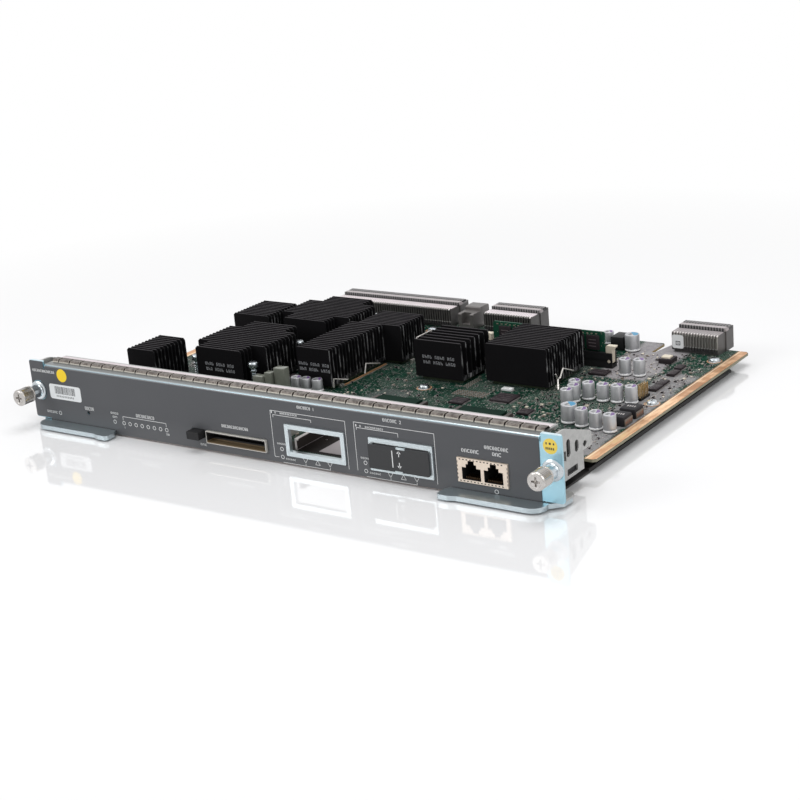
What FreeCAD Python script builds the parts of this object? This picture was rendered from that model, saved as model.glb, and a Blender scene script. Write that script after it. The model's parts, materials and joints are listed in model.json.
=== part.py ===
"""Supervisor module for a modular chassis switch, in millimetres.

Frame: X runs along the front panel, Y runs back into the chassis, Z is up.
The origin is the foot of the front panel at its middle: the panel's front is y = 0
and the underside of the panel and of the tray is z = 0.
"""
import FreeCAD, Part
import math
import os

from FreeCAD import Vector

# ---------------------------------------------------------------- driving dimensions
GAP = 0.3                      # clearance round pieces that pass through or move past others
RUNNING = 0.06                 # radial clearance of a turning or sliding fit

# front panel
PANEL_HALF = 182.0             # half width of the full-height part
PANEL_HEIGHT = 40.4
SHEET = 1.5                    # faceplate sheet
PANEL_TOP_FLANGE = 20.0
PANEL_FOOT_FLANGE = 12.0
EAR_REACH = 13.2               # how far each ear stands out beyond the panel's end
EAR_BOTTOM = 4.1
EAR_TOP = 42.6
FILM = 0.3                     # dark printed film on the panel's front
FILM_STOP = 0.3                # the film stops this far short of the right end: that ear is bare
FILM_MARGIN = 0.7              # bare metal above and below the film

# contact strip on the top flange
STRIP_THICK = 0.3
STRIP_FRONT = 6.8
STRIP_RISE = 1.6
FINGER_DEPTH = 6.6
STRIP_BAND = 4.6               # flat rear band that carries the fingers
FINGER_PITCH = 9.5
FINGER_SLIT = 0.9

# main board and tray
BOARD_BOTTOM = 6.4
BOARD_THICK = 1.6
BOARD_WING = 2.0               # the board's wings reach this far beyond the panel's ends
BOARD_FRONT = 3.0
BOARD_BACK = 262.0
WING_FRONT = 54.0              # the board is full width from here back
BOARD_NECK = 5.2               # in front of them it is this much narrower than the panel
NOTCH_LEFT = 124.6             # slot in the board's rear edge
NOTCH_WIDTH = 6.0
NOTCH_DEPTH = 20.0
TRAY_INSET = 2.0
TRAY_SHEET = 1.2
TRAY_BACK = 246.0
TRAY_HEM = 2.4
TRAY_LAP = 9.0                 # how far the tray laps over the panel's foot flange
STANDOFF_R = 3.0
SCREW_HEAD_R = 3.2
SCREW_HEAD_H = 2.0

# side bracket behind each ear
BRACKET_SHEET = 1.2
BRACKET_INSET = 5.2            # upper plate, measured in from the ear's edge
BRACKET_STAND = 2.5            # lower plate, measured out from the panel's end
BRACKET_SHELF_Z = 22.8
BRACKET_TOP = 41.2
BRACKET_LOW = 30.8
BRACKET_BACK = 41.0
BRACKET_CLEAR = 13.0           # the sheet stays behind this around the screw
SLOT_COUNT = 3
SLOT_PITCH = 8.9
SLOT_WIDTH = 4.0

# captive thumbscrew
SCREW_INSET = 5.9              # screw axis, measured in from the ear's edge
SCREW_Z = 22.6
HEAD_R = 5.35
HEAD_FACE_Y = -18.5
HEAD_LENGTH = 10.0
HEAD_FLOOR = 3.0
SHANK_R = 2.0
SCREW_TRAVEL = 6.0
FERRULE_FLANGE_R = 6.3
FERRULE_FLANGE = 1.6
FERRULE_BARREL_R = 4.6
SLEEVE_R = 4.2
SLEEVE_WALL = 0.8
FERRULE_FLARE = 0.7
RETAINER_R = 3.6
RETAINER_THICK = 0.8
GROOVE_DEPTH = 0.4
SCREW_TIP = 3.0
SPRING_WIRE_R = 0.25
SPRING_TURNS = 5

# ejector lever
LEVER_THICK = 2.8
LEVER_Z = 0.8
LEVER_REACH = 59.6             # handle, measured from the panel's end
LEVER_FRONT_Y = -11.2
LEVER_BACK_Y = -0.9
PIVOT_INSET = 7.6              # lever pivot, measured in from the ear's edge
PIVOT_Y = 8.4
PIVOT_R = 2.0
EYE_R = 4.9
LEVER_TOE = 1.3                # the tip stands this far out in front of the handle
LEVER_SHOULDER = 4.2           # handle's outer corner, measured out from the panel's end
CLAW_INSET = 2.4               # claw, measured in from the ear's edge

# uplink bays
BAY_MIDDLES = (33.6, 93.4)
BAY_WIDTH = 37.3
BAY_HEIGHT = 14.0
BAY_Z = 8.9
BEZEL_SIDE = 2.7
BEZEL_TOP = 2.8
BEZEL_THICK = 1.2
THROAT_WALL = 0.9
RAIL_LENGTH = 84.0
RAIL_HEIGHT = 7.4
RAIL_SHEET = 1.0
HOST_DEPTH = 9.0

# twin RJ45 jack
JACK_INSET = 51.8              # left face of the jack, from the panel's right end
JACK_WIDTH = 31.7
JACK_TOP = 21.9
JACK_DEPTH = 18.0
JACK_PROUD = 0.9
PORT_PITCH = 13.97
PORT_WIDTH = 11.9
PORT_FLOOR = 1.7
PORT_DEPTH = 13.0

# flash card connector
FLASH_MIDDLE = -25.75
FLASH_WIDTH = 45.9
FLASH_Z0 = 5.8
FLASH_Z1 = 13.4
FLASH_WALL = 0.9
FLASH_DEPTH = 36.0
FLASH_PROUD = 1.6
EJECT_GAP = 2.1
EJECT_WIDTH = 9.6
EJECT_HEIGHT = 5.0
EJECT_PROUD = 6.0
EJECT_TRAVEL = 4.5

# status lights and reset
LIGHT_HALF = 0.9
LIGHT_Z = 9.1
UTIL_INSET = 64.7              # lights and reset, from the panel's left end
UTIL_PITCH = 5.08
UTIL_COUNT = 8
ACTIVE_INSET = 57.0
STATUS_INSET = 9.0
STATUS_Z = 8.9
RESET_INSET = 34.7
RESET_Z = 12.1
RESET_R = 1.1
RESET_TRAVEL = 0.3

SINK_TOP = 35.0
CHIP_HEIGHT = 2.4
SINK_BASE = 2.6
FIN_THICK = 0.9
# heatsinks: (name, middle, front, width, depth, fin pitch, corner cut, notch in X and Y)
SINKS = (
    ("heatsink_left_front", -156.00, 61.0, 24.0, 31.0, 3.3, 1.4, 0.0, 0.0),
    ("heatsink_left_mid", -105.40, 80.0, 57.6, 60.0, 3.5, 1.4, 9.6, 11.0),
    ("heatsink_left_back", -137.00, 153.0, 31.0, 33.0, 3.2, 1.4, 0.0, 0.0),
    ("heatsink_mid_back", -92.00, 155.0, 58.0, 56.0, 3.2, 1.4, 11.0, 12.0),
    ("heatsink_centre", -44.60, 102.0, 26.6, 59.5, 3.5, 1.0, 0.0, 0.0),
    ("heatsink_centre_back", -34.80, 162.4, 34.6, 28.0, 3.1, 1.0, 0.0, 0.0),
    ("heatsink_right_mid", 25.50, 141.0, 36.0, 33.0, 5.3, 0.8, 0.0, 0.0),
    ("heatsink_right_back", 78.75, 148.0, 44.5, 46.0, 3.2, 1.0, 0.0, 0.0),
)
CHIP_INSET = 3.0
POST_R = 1.9                   # sprung posts in the notches of the large heatsinks
POST_HEAD_R = 3.3
POST_COLLAR_R = 2.6
POST_TOP = 27.0
POST_HEAD = 4.0
POST_SLOT = 1.4

# rear connectors
CONN_FRONT = 246.5
CONN_BACK = 270.0
CONN_TOP = 23.6
CONN_BODY_TOP = 21.8
CONN_HEAD_Y = 256.4            # front of the raised head behind the wafers
CONN_HEAD_GROOVE = 262.4       # groove across the head
SHROUD_DEPTH = 11.0
CONN_SEAT = 2.0
WAFER_PITCH = 2.0
REAR_CONNECTORS = (            # (name, left edge, width)
    ("backplane_connector_long", -134.6, 101.2),
    ("backplane_connector_mid", -6.7, 38.9),
    ("backplane_connector_right", 136.6, 33.1),
)
GUIDE_LEFT = -27.4
GUIDE_WIDTH = 12.4
GUIDE_TOP = 21.2
GUIDE_BORE_R = 4.0
GUIDE_BORE_Z = 14.6
GUIDE_BORE_DEPTH = 14.0

# memory module in its socket
MEM_Y = 205.0
MEM_MIDDLE = 69.5
MEM_LENGTH = 83.0
SOCKET_HEIGHT = 10.0
SOCKET_DEPTH = 6.6
MODULE_THICK = 1.2
MODULE_TOP = 31.0
SLOT_DEPTH = 5.0
LATCH_WIDTH = 5.2
LATCH_REACH = 6.0
LATCH_HEIGHT = 14.5
LATCH_PIN_R = 1.0

DRAWN_HALF = 182.0             # the panel half width for which places across the board are given

# derived planes
SPREAD = PANEL_HALF / DRAWN_HALF
EAR_OUT = PANEL_HALF + EAR_REACH
BAY_X = [SPREAD * x for x in BAY_MIDDLES]
FILM_RIGHT = PANEL_HALF - FILM_STOP
BOARD_HALF = PANEL_HALF + BOARD_WING
BOARD_NECK_HALF = PANEL_HALF - BOARD_NECK
TRAY_HALF = PANEL_HALF - TRAY_INSET
BRACKET_OUT = EAR_OUT - BRACKET_INSET
BRACKET_IN = PANEL_HALF + BRACKET_STAND
SCREW_X = EAR_OUT - SCREW_INSET
LEVER_TIP_X = PANEL_HALF - LEVER_REACH
PIVOT_X = EAR_OUT - PIVOT_INSET
CLAW_X = EAR_OUT - CLAW_INSET
NOTCH_X = SPREAD * NOTCH_LEFT
JACK_X0 = PANEL_HALF - JACK_INSET
JACK_X1 = JACK_X0 + JACK_WIDTH
FLASH_X0 = SPREAD * FLASH_MIDDLE - FLASH_WIDTH / 2
FLASH_X1 = FLASH_X0 + FLASH_WIDTH
EJECT_X0 = FLASH_X0 - EJECT_GAP - EJECT_WIDTH
UTIL_X = UTIL_INSET - PANEL_HALF
ACTIVE_X = ACTIVE_INSET - PANEL_HALF
STATUS_X = STATUS_INSET - PANEL_HALF
RESET_X = RESET_INSET - PANEL_HALF
MEM_X0 = SPREAD * MEM_MIDDLE - MEM_LENGTH / 2
BOARD_TOP = BOARD_BOTTOM + BOARD_THICK
CHIP_TOP = BOARD_TOP + CHIP_HEIGHT
LEVER_TOP = LEVER_Z + LEVER_THICK
FOOT_Z = LEVER_TOP + 0.1
PORT_MID = (JACK_X0 + JACK_X1) / 2


# ---------------------------------------------------------------- drawing helpers
def box(x0, x1, y0, y1, z0, z1):
    return Part.makeBox(x1 - x0, y1 - y0, z1 - z0, Vector(x0, y0, z0))


def rod_y(x, z, radius, y0, y1):
    return Part.makeCylinder(radius, y1 - y0, Vector(x, y0, z), Vector(0, 1, 0))


def rod_z(x, y, radius, z0, z1):
    return Part.makeCylinder(radius, z1 - z0, Vector(x, y, z0))


def faceted(radius, sides):
    """Corners of a regular polygon round the origin, for small round parts with few faces."""
    turn = 2 * math.pi / sides
    return [(radius * math.cos(turn * (k + 0.5)), radius * math.sin(turn * (k + 0.5))) for k in range(sides)]


def outline(points):
    """Closed wire through (u, v) or (u, v, radius) points, drawn in the XY plane.

    A negative radius cuts the corner straight, that far along both sides.
    """
    corners = [tuple(p) + (0.0,) * (3 - len(p)) for p in points]
    stops = []
    count = len(corners)
    for i, (u, v, radius) in enumerate(corners):
        here = Vector(u, v, 0)
        if not radius:
            stops.append((here, None, here))
            continue
        before = Vector(*corners[i - 1][:2], 0) - here
        after = Vector(*corners[(i + 1) % count][:2], 0) - here
        before.normalize()
        after.normalize()
        if radius < 0:
            stops.append((here - before * radius, here, here - after * radius))
            continue
        half = before.getAngle(after) / 2
        reach = radius / math.tan(half)
        middle = before + after
        middle.normalize()
        bend = here + middle * (radius / math.sin(half) - radius)
        stops.append((here + before * reach, bend, here + after * reach))
    edges = []
    for i, (first, bend, last) in enumerate(stops):
        if bend and corners[i][2] > 0:
            edges.append(Part.Arc(first, bend, last).toShape())
        elif bend:
            edges.append(Part.LineSegment(first, last).toShape())
        following = stops[(i + 1) % count][0]
        if last.distanceToPoint(following) > 1e-6:
            edges.append(Part.LineSegment(last, following).toShape())
    return Part.Wire(edges)


def plate_z(points, z0, z1):
    """Plate whose outline is drawn in (x, y)."""
    face = Part.Face(outline(points))
    face.translate(Vector(0, 0, z0))
    return face.extrude(Vector(0, 0, z1 - z0))


def plate_y(points, y0, y1):
    """Plate whose outline is drawn in (x, z)."""
    face = Part.Face(outline(points))
    face.rotate(Vector(), Vector(1, 0, 0), 90)
    face.translate(Vector(0, y0, 0))
    return face.extrude(Vector(0, y1 - y0, 0))


def plate_x(points, x0, x1):
    """Plate whose outline is drawn in (y, z)."""
    face = Part.Face(outline(points))
    face.rotate(Vector(), Vector(1, 0, 0), 90)
    face.rotate(Vector(), Vector(0, 0, 1), 90)
    face.translate(Vector(x0, 0, 0))
    return face.extrude(Vector(x1 - x0, 0, 0))


def turned_y(points, x, z):
    """Solid turned about an axis along Y; its half section is drawn in (radius, y)."""
    face = Part.Face(outline(points))
    turned = face.revolve(Vector(), Vector(0, 1, 0), 360)
    turned.translate(Vector(x, 0, z))
    return turned


def turned_z(points, x, y):
    """Solid turned about an axis along Z; its half section is drawn in (radius, z)."""
    face = Part.Face(outline(points))
    face.rotate(Vector(), Vector(1, 0, 0), 90)
    turned = face.revolve(Vector(), Vector(0, 0, 1), 360)
    turned.translate(Vector(x, y, 0))
    return turned


def slot_x(y0, y1, z0, z1, x0, x1):
    """Cutter for an upright slot with round ends, through a wall that faces X."""
    cut = -(y1 - y0) * 0.3
    return plate_x([(y0, z0, cut), (y1, z0, cut), (y1, z1, cut), (y0, z1, cut)], x0, x1)


def mirrored(shape):
    return shape.mirror(Vector(), Vector(1, 0, 0))


def group(shapes):
    return Part.makeCompound(shapes)


def spaced(first, last, count):
    step = (last - first) / (count - 1)
    return [first + step * i for i in range(count)]


def at(shape, x, y, z=0.0):
    moved = shape.copy()
    moved.translate(Vector(x, y, z))
    return moved


# ---------------------------------------------------------------- places shared by pieces
def bay_edges(middle):
    return middle - BAY_WIDTH / 2, middle + BAY_WIDTH / 2


def throat(middle, extra, y0, y1):
    """Block of a bezel's throat through the panel, larger by extra on each side."""
    left, right = bay_edges(middle)
    grow = THROAT_WALL + extra
    return box(left - grow, right + grow, y0, y1, BAY_Z - grow, BAY_Z + BAY_HEIGHT + grow)


def light_spots():
    """(x, z) of the status light, the active light and then the row of utilisation lights."""
    spots = [(STATUS_X, STATUS_Z), (ACTIVE_X, LIGHT_Z)]
    spots += [(UTIL_X + UTIL_PITCH * i, LIGHT_Z) for i in range(UTIL_COUNT)]
    return spots


def panel_openings(y0, y1):
    """Cutters for every hole that goes through both the sheet and its film.

    The film runs over the status lights, which shine through windows in its print.
    """
    cuts = [throat(middle, GAP, y0, y1) for middle in BAY_X]
    cuts.append(box(JACK_X0 - GAP, JACK_X1 + GAP, y0, y1, BOARD_TOP - GAP, JACK_TOP + GAP))
    cuts.append(box(FLASH_X0 - GAP, FLASH_X1 + GAP, y0, y1, FLASH_Z0 - GAP, FLASH_Z1 + GAP))
    cuts.append(
        box(EJECT_X0 - GAP, EJECT_X0 + EJECT_WIDTH + GAP, y0, y1,
            BOARD_TOP, BOARD_TOP + EJECT_HEIGHT + 2 * GAP)
    )
    cuts.append(rod_y(RESET_X, RESET_Z, RESET_R + GAP / 2, y0, y1))
    return cuts


# ---------------------------------------------------------------- front panel
def faceplate():
    section = [
        (0, 0, -0.4), (0, PANEL_HEIGHT, SHEET), (PANEL_TOP_FLANGE, PANEL_HEIGHT),
        (PANEL_TOP_FLANGE, PANEL_HEIGHT - SHEET), (SHEET, PANEL_HEIGHT - SHEET),
        (SHEET, SHEET), (PANEL_FOOT_FLANGE, SHEET), (PANEL_FOOT_FLANGE, 0),
    ]
    body = plate_x(section, -PANEL_HALF, PANEL_HALF)
    root = PANEL_HALF - 4.0
    neck_top = PANEL_HEIGHT - 3.0
    notch = PANEL_HALF + 0.8
    ear = plate_y(
        [(root, EAR_BOTTOM), (EAR_OUT, EAR_BOTTOM, 1.5), (EAR_OUT, EAR_TOP, 1.5),
         (notch, EAR_TOP, -0.5), (notch, neck_top), (root, neck_top)],
        0, SHEET,
    )
    body = body.fuse([ear, mirrored(ear)])
    holes = panel_openings(-1, SHEET + 1)
    edge = LIGHT_HALF + GAP
    holes += [box(x - edge, x + edge, -1, SHEET + 1, z - edge, z + edge)
              for x, z in light_spots()[:2]]
    first = light_spots()[2]
    last = light_spots()[-1]
    holes.append(box(first[0] - edge, last[0] + edge, -1, SHEET + 1, first[1] - edge, last[1] + edge))
    for side in (-1, 1):
        holes.append(rod_y(side * SCREW_X, SCREW_Z, FERRULE_BARREL_R + RUNNING, -1, SHEET + 1))
    return body.cut(holes).removeSplitter()


def front_overlay():
    film = box(-PANEL_HALF, FILM_RIGHT, -FILM, 0, FILM_MARGIN, PANEL_HEIGHT - SHEET)
    ear = plate_y(
        [(-PANEL_HALF + 1, EAR_BOTTOM + 0.4), (-PANEL_HALF + 1, PANEL_HEIGHT - 3.0),
         (-PANEL_HALF - 0.8, PANEL_HEIGHT - 3.0), (-PANEL_HALF - 0.8, EAR_TOP - 0.4, -0.5),
         (-EAR_OUT + 0.3, EAR_TOP - 0.4, 1.2), (-EAR_OUT + 0.3, EAR_BOTTOM + 0.4, 1.2)],
        -FILM, 0,
    )
    film = film.fuse(ear)
    holes = panel_openings(-FILM - 1, 1)
    holes.append(rod_y(-SCREW_X, SCREW_Z, FERRULE_FLANGE_R + GAP, -FILM - 1, 1))
    return film.cut(holes).removeSplitter()


def emi_finger_strip():
    seat = PANEL_HEIGHT
    crest = seat + STRIP_RISE
    heel = STRIP_FRONT + FINGER_DEPTH
    back = heel + STRIP_BAND
    skin = STRIP_THICK
    section = [
        (STRIP_FRONT, seat), (STRIP_FRONT + 1.2, crest), (heel - 1.4, crest), (heel, seat + skin),
        (back, seat + skin), (back, seat), (heel - 0.4, seat), (heel - 1.6, crest - skin),
        (STRIP_FRONT + 1.4, crest - skin), (STRIP_FRONT + skin + 0.1, seat),
    ]
    half = PANEL_HALF - 1.0
    strip = plate_x(section, -half, half)
    count = int(2 * half / FINGER_PITCH)
    first = -FINGER_PITCH * (count - 1) / 2
    slits = [
        box(first + FINGER_PITCH * i - FINGER_SLIT / 2, first + FINGER_PITCH * i + FINGER_SLIT / 2,
            STRIP_FRONT - 1, heel + 0.3, seat - 1, crest + 1)
        for i in range(count)
    ]
    return strip.cut(slits)


# ---------------------------------------------------------------- side brackets
def side_bracket():
    """Right-hand bracket: a folded sheet that ties ear, board and lever pivot together."""
    sheet = BRACKET_SHEET
    back = BRACKET_BACK
    clear = BRACKET_CLEAR
    above_screw = SCREW_Z + 6.2
    upper = plate_x(
        [(SHEET, above_screw), (clear, above_screw), (clear, BRACKET_SHELF_Z),
         (back, BRACKET_SHELF_Z), (back, BRACKET_LOW, -1.0), (clear - 1.0, BRACKET_TOP, -1.5),
         (SHEET, BRACKET_TOP)],
        BRACKET_OUT - sheet, BRACKET_OUT,
    )
    shelf = box(BRACKET_IN - sheet, BRACKET_OUT, clear, back, BRACKET_SHELF_Z, BRACKET_SHELF_Z + sheet)
    lower = box(BRACKET_IN - sheet, BRACKET_IN, clear, back, BOARD_TOP, BRACKET_SHELF_Z + sheet)
    shin = box(BRACKET_IN - sheet, BRACKET_IN, SHEET, clear + 3.0, FOOT_Z, SCREW_Z - 8.0)
    foot = plate_z(
        [(BRACKET_IN - sheet, SHEET), (PIVOT_X + EYE_R + 1.0, SHEET, -2.0),
         (PIVOT_X + EYE_R + 1.0, clear + 3.0, -3.0), (BRACKET_IN - sheet, clear + 3.0)],
        FOOT_Z, FOOT_Z + sheet,
    )
    tab = box(BRACKET_OUT - 9.0, BRACKET_OUT, SHEET, SHEET + sheet, above_screw, PANEL_HEIGHT - 3.2)
    inner = box(BOARD_NECK_HALF - 12.0, BRACKET_IN, clear + 4.0, back, BOARD_TOP, BOARD_TOP + sheet)
    body = upper.fuse([shelf, lower, shin, foot, tab, inner])
    cuts = []
    for i in range(SLOT_COUNT):
        middle = clear + 2.6 + SLOT_PITCH * i
        roof = BRACKET_TOP - (BRACKET_TOP - BRACKET_LOW) * (middle - clear) / (back - clear)
        cuts.append(
            slot_x(middle - SLOT_WIDTH / 2, middle + SLOT_WIDTH / 2, BRACKET_SHELF_Z + sheet + 0.4,
                   roof - 6.0, BRACKET_OUT - 2 * sheet, BRACKET_OUT + 1)
        )
    cuts.append(
        box(BRACKET_IN - 2 * sheet, BRACKET_IN + 1, back - 18.0, back - 7.0,
            BOARD_TOP + 2.0, BOARD_TOP + 5.6)
    )
    cuts.append(rod_z(PIVOT_X, PIVOT_Y, PIVOT_R + RUNNING, FOOT_Z - 1, FOOT_Z + sheet + 1))
    cuts.append(rod_z(*bracket_screw_spot(), 1.7, BOARD_TOP - 1, BOARD_TOP + sheet + 1))
    return body.cut(cuts).removeSplitter()


def bracket_screw_spot():
    return BOARD_NECK_HALF - 6.0, BRACKET_BACK - 12.0


# ---------------------------------------------------------------- tray, board and their fasteners
def standoff_spots():
    """(x, y) of the pillars between tray and board; the first two lie under the side brackets."""
    x, y = bracket_screw_spot()
    spots = [(side * x, y) for side in (-1, 1)]
    drawn = [(side * 171.0, row) for side in (-1, 1) for row in (149.5, 237.5)]
    drawn += [(22.7, 127.0), (-70.0, 66.0), (63.5, 70.0), (-44.0, 238.0), (60.0, 238.0)]
    spots += [(SPREAD * x, row) for x, row in drawn]
    return spots


def carrier_tray():
    floor = plate_z(
        [(-TRAY_HALF, PANEL_FOOT_FLANGE + GAP), (TRAY_HALF, PANEL_FOOT_FLANGE + GAP),
         (TRAY_HALF, TRAY_BACK, -3.0), (-TRAY_HALF, TRAY_BACK, -3.0)],
        0, TRAY_SHEET,
    )
    lap_front = PANEL_FOOT_FLANGE - TRAY_LAP
    lap = plate_x(
        [(lap_front, SHEET), (lap_front, SHEET + TRAY_SHEET),
         (PANEL_FOOT_FLANGE + GAP + TRAY_SHEET, SHEET + TRAY_SHEET, -0.8),
         (PANEL_FOOT_FLANGE + GAP + TRAY_SHEET, TRAY_SHEET / 2),
         (PANEL_FOOT_FLANGE + GAP, TRAY_SHEET / 2), (PANEL_FOOT_FLANGE + GAP, SHEET)],
        -PANEL_HALF + 4.0, PANEL_HALF - 4.0,
    )
    hem = box(TRAY_HALF - TRAY_SHEET, TRAY_HALF, WING_FRONT, TRAY_BACK - 12.0, 0, TRAY_HEM)
    body = floor.fuse([lap, hem, mirrored(hem)])
    return body.removeSplitter()


def tray_rivets():
    """Flat rivets that hold the tray's front lip to the panel's foot flange."""
    lap_middle = PANEL_FOOT_FLANGE - TRAY_LAP / 2
    top = SHEET + TRAY_SHEET
    end = TRAY_HALF - TRAY_LAP - 11.0
    rivet = plate_z(faceted(2.4, 8), top, top + 0.8)
    return group([at(rivet, x, lap_middle) for x in spaced(-end, end, 3)])


def board_standoffs():
    """Hexagonal pillars pressed into the tray."""
    pillar = plate_z(faceted(STANDOFF_R, 6), TRAY_SHEET, BOARD_BOTTOM)
    return group([at(pillar, x, y) for x, y in standoff_spots()])


def board_screws():
    """Pan-head screws; those in front also hold the side brackets."""
    screws = []
    for i, (x, y) in enumerate(standoff_spots()):
        seat = BOARD_TOP + (BRACKET_SHEET if i < 2 else 0)
        screws.append(at(plate_z(faceted(SCREW_HEAD_R, 8), seat, seat + SCREW_HEAD_H), x, y))
    return group(screws)


def main_board():
    back = BOARD_BACK
    neck = BOARD_NECK_HALF
    body = plate_z(
        [(-neck, BOARD_FRONT), (neck, BOARD_FRONT), (neck, WING_FRONT),
         (BOARD_HALF, WING_FRONT, -2.0), (BOARD_HALF, back, -2.0),
         (NOTCH_X + NOTCH_WIDTH, back, -1.0), (NOTCH_X + NOTCH_WIDTH * 0.4, back - NOTCH_DEPTH, -1.0),
         (NOTCH_X, back - NOTCH_DEPTH), (NOTCH_X, back, -1.0), (-BOARD_HALF, back, -2.0),
         (-BOARD_HALF, WING_FRONT, -2.0), (-neck, WING_FRONT)],
        BOARD_BOTTOM, BOARD_TOP,
    )
    flash_cut = box(FLASH_X0 - GAP, FLASH_X1 + GAP, BOARD_FRONT - 1, BOARD_FRONT + 1.5,
                    BOARD_BOTTOM - 1, BOARD_TOP + 1)
    return body.cut(flash_cut)


# ---------------------------------------------------------------- captive thumbscrews
def thumbscrew(x):
    back = HEAD_FACE_Y + HEAD_LENGTH
    floor = HEAD_FACE_Y + HEAD_FLOOR
    bore = SLEEVE_R + GAP
    groove = retainer_y()
    tip = groove + RETAINER_THICK + 0.1 + SCREW_TIP
    section = [
        (0, HEAD_FACE_Y), (HEAD_R, HEAD_FACE_Y, -0.5), (HEAD_R, back), (bore, back),
        (bore, floor), (SHANK_R, floor), (SHANK_R, groove - 0.05),
        (SHANK_R - GROOVE_DEPTH, groove - 0.05),
        (SHANK_R - GROOVE_DEPTH, groove + RETAINER_THICK + 0.05),
        (SHANK_R, groove + RETAINER_THICK + 0.05), (SHANK_R, tip),
        (0, tip),
    ]
    screw = turned_y(section, x, SCREW_Z)
    arm = 2.6
    cross = [
        box(x - arm, x + arm, HEAD_FACE_Y - 1, HEAD_FACE_Y + 1.6, SCREW_Z - 0.5, SCREW_Z + 0.5),
        box(x - 0.5, x + 0.5, HEAD_FACE_Y - 1, HEAD_FACE_Y + 1.6, SCREW_Z - arm, SCREW_Z + arm),
    ]
    return screw.cut(cross)


def retainer_y():
    return SHEET + FERRULE_FLARE


def screw_ferrule(x):
    bore = SHANK_R + RUNNING
    inner = SLEEVE_R - SLEEVE_WALL
    rear = SHEET + FERRULE_FLARE
    sleeve_front = HEAD_FACE_Y + HEAD_FLOOR + SCREW_TRAVEL + GAP
    section = [
        (bore, -FERRULE_FLANGE), (inner, -FERRULE_FLANGE), (inner, sleeve_front),
        (SLEEVE_R, sleeve_front), (SLEEVE_R, -FERRULE_FLANGE),
        (FERRULE_FLANGE_R, -FERRULE_FLANGE), (FERRULE_FLANGE_R, 0), (FERRULE_BARREL_R, 0),
        (FERRULE_BARREL_R, rear), (bore, rear),
    ]
    return turned_y(section, x, SCREW_Z)


def screw_retainer(x):
    front = retainer_y()
    inner = SHANK_R - GROOVE_DEPTH + RUNNING
    section = [(inner, front), (RETAINER_R, front), (RETAINER_R, front + RETAINER_THICK),
               (inner, front + RETAINER_THICK)]
    return turned_y(section, x, SCREW_Z)


def screw_spring(x):
    start = HEAD_FACE_Y + HEAD_FLOOR + SPRING_WIRE_R
    end = -FERRULE_FLANGE - SPRING_WIRE_R
    radius = (SHANK_R + SLEEVE_R - SLEEVE_WALL) / 2
    pitch = (end - start) / SPRING_TURNS
    runs = 8
    steps = SPRING_TURNS * runs
    wire = SPRING_WIRE_R
    rings = []
    for i in range(steps + 1):
        angle = 2 * math.pi * i / runs
        rise = pitch * i / runs
        corners = [(radius - wire, -wire), (radius + wire, -wire), (radius + wire, wire), (radius - wire, wire)]
        ring = [Vector(u * math.cos(angle), u * math.sin(angle), rise + v) for u, v in corners]
        rings.append(Part.makePolygon(ring + ring[:1]))
    coil = Part.makeLoft(rings, True, True)
    coil.rotate(Vector(), Vector(1, 0, 0), -90)
    coil.translate(Vector(x, start, SCREW_Z))
    return coil


# ---------------------------------------------------------------- ejector levers
def ejector_lever():
    """Right-hand lever: a flat handle along the panel's foot, an eye behind the ear and a claw."""
    knee = PANEL_HALF + 1.0
    shoulder = PANEL_HALF + LEVER_SHOULDER
    front = LEVER_FRONT_Y
    neck_out = PIVOT_X + EYE_R
    handle = plate_z(
        [(LEVER_TIP_X + 2.5, LEVER_BACK_Y, 1.0), (knee, LEVER_BACK_Y, 0.5), (knee, PIVOT_Y, 0.5),
         (neck_out, PIVOT_Y), (neck_out, PIVOT_Y - 4.0), (shoulder, LEVER_BACK_Y - 1.0),
         (shoulder, front, 8.0), (LEVER_TIP_X + 12.0, front, 3.0),
         (LEVER_TIP_X + 7.5, front - LEVER_TOE, 3.0), (LEVER_TIP_X, front - LEVER_TOE, 2.2),
         (LEVER_TIP_X, LEVER_BACK_Y - 4.0, 2.0)],
        LEVER_Z, LEVER_TOP,
    )
    eye = rod_z(PIVOT_X, PIVOT_Y, EYE_R, LEVER_Z, LEVER_TOP)
    claw = plate_z(
        [(PIVOT_X, PIVOT_Y - 1.0), (CLAW_X, PIVOT_Y - 1.0, 0.6), (CLAW_X, PIVOT_Y + 4.6, 0.8),
         (CLAW_X - 3.4, PIVOT_Y + 4.6, 0.8), (PIVOT_X, PIVOT_Y + 3.0)],
        LEVER_Z, LEVER_TOP,
    )
    bore = rod_z(PIVOT_X, PIVOT_Y, PIVOT_R + RUNNING, LEVER_Z - 1, LEVER_TOP + 1)
    return handle.fuse([eye, claw]).cut(bore).removeSplitter()


def lever_pivot():
    """Shouldered rivet that hangs the right-hand lever under its bracket."""
    head_top = LEVER_Z - 0.1
    crown = FOOT_Z + BRACKET_SHEET
    section = [
        (0, 0.1), (PIVOT_R + 1.6, 0.1), (PIVOT_R + 1.6, head_top), (PIVOT_R, head_top),
        (PIVOT_R, crown), (PIVOT_R + 0.9, crown), (PIVOT_R + 0.9, crown + 0.9), (0, crown + 0.9),
    ]
    return turned_z(section, PIVOT_X, PIVOT_Y)


# ---------------------------------------------------------------- uplink bays
def bezel_edges(middle):
    left, right = bay_edges(middle)
    return left - BEZEL_SIDE, right + BEZEL_SIDE, BAY_Z - BEZEL_TOP, BAY_Z + BAY_HEIGHT + BEZEL_TOP


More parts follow.
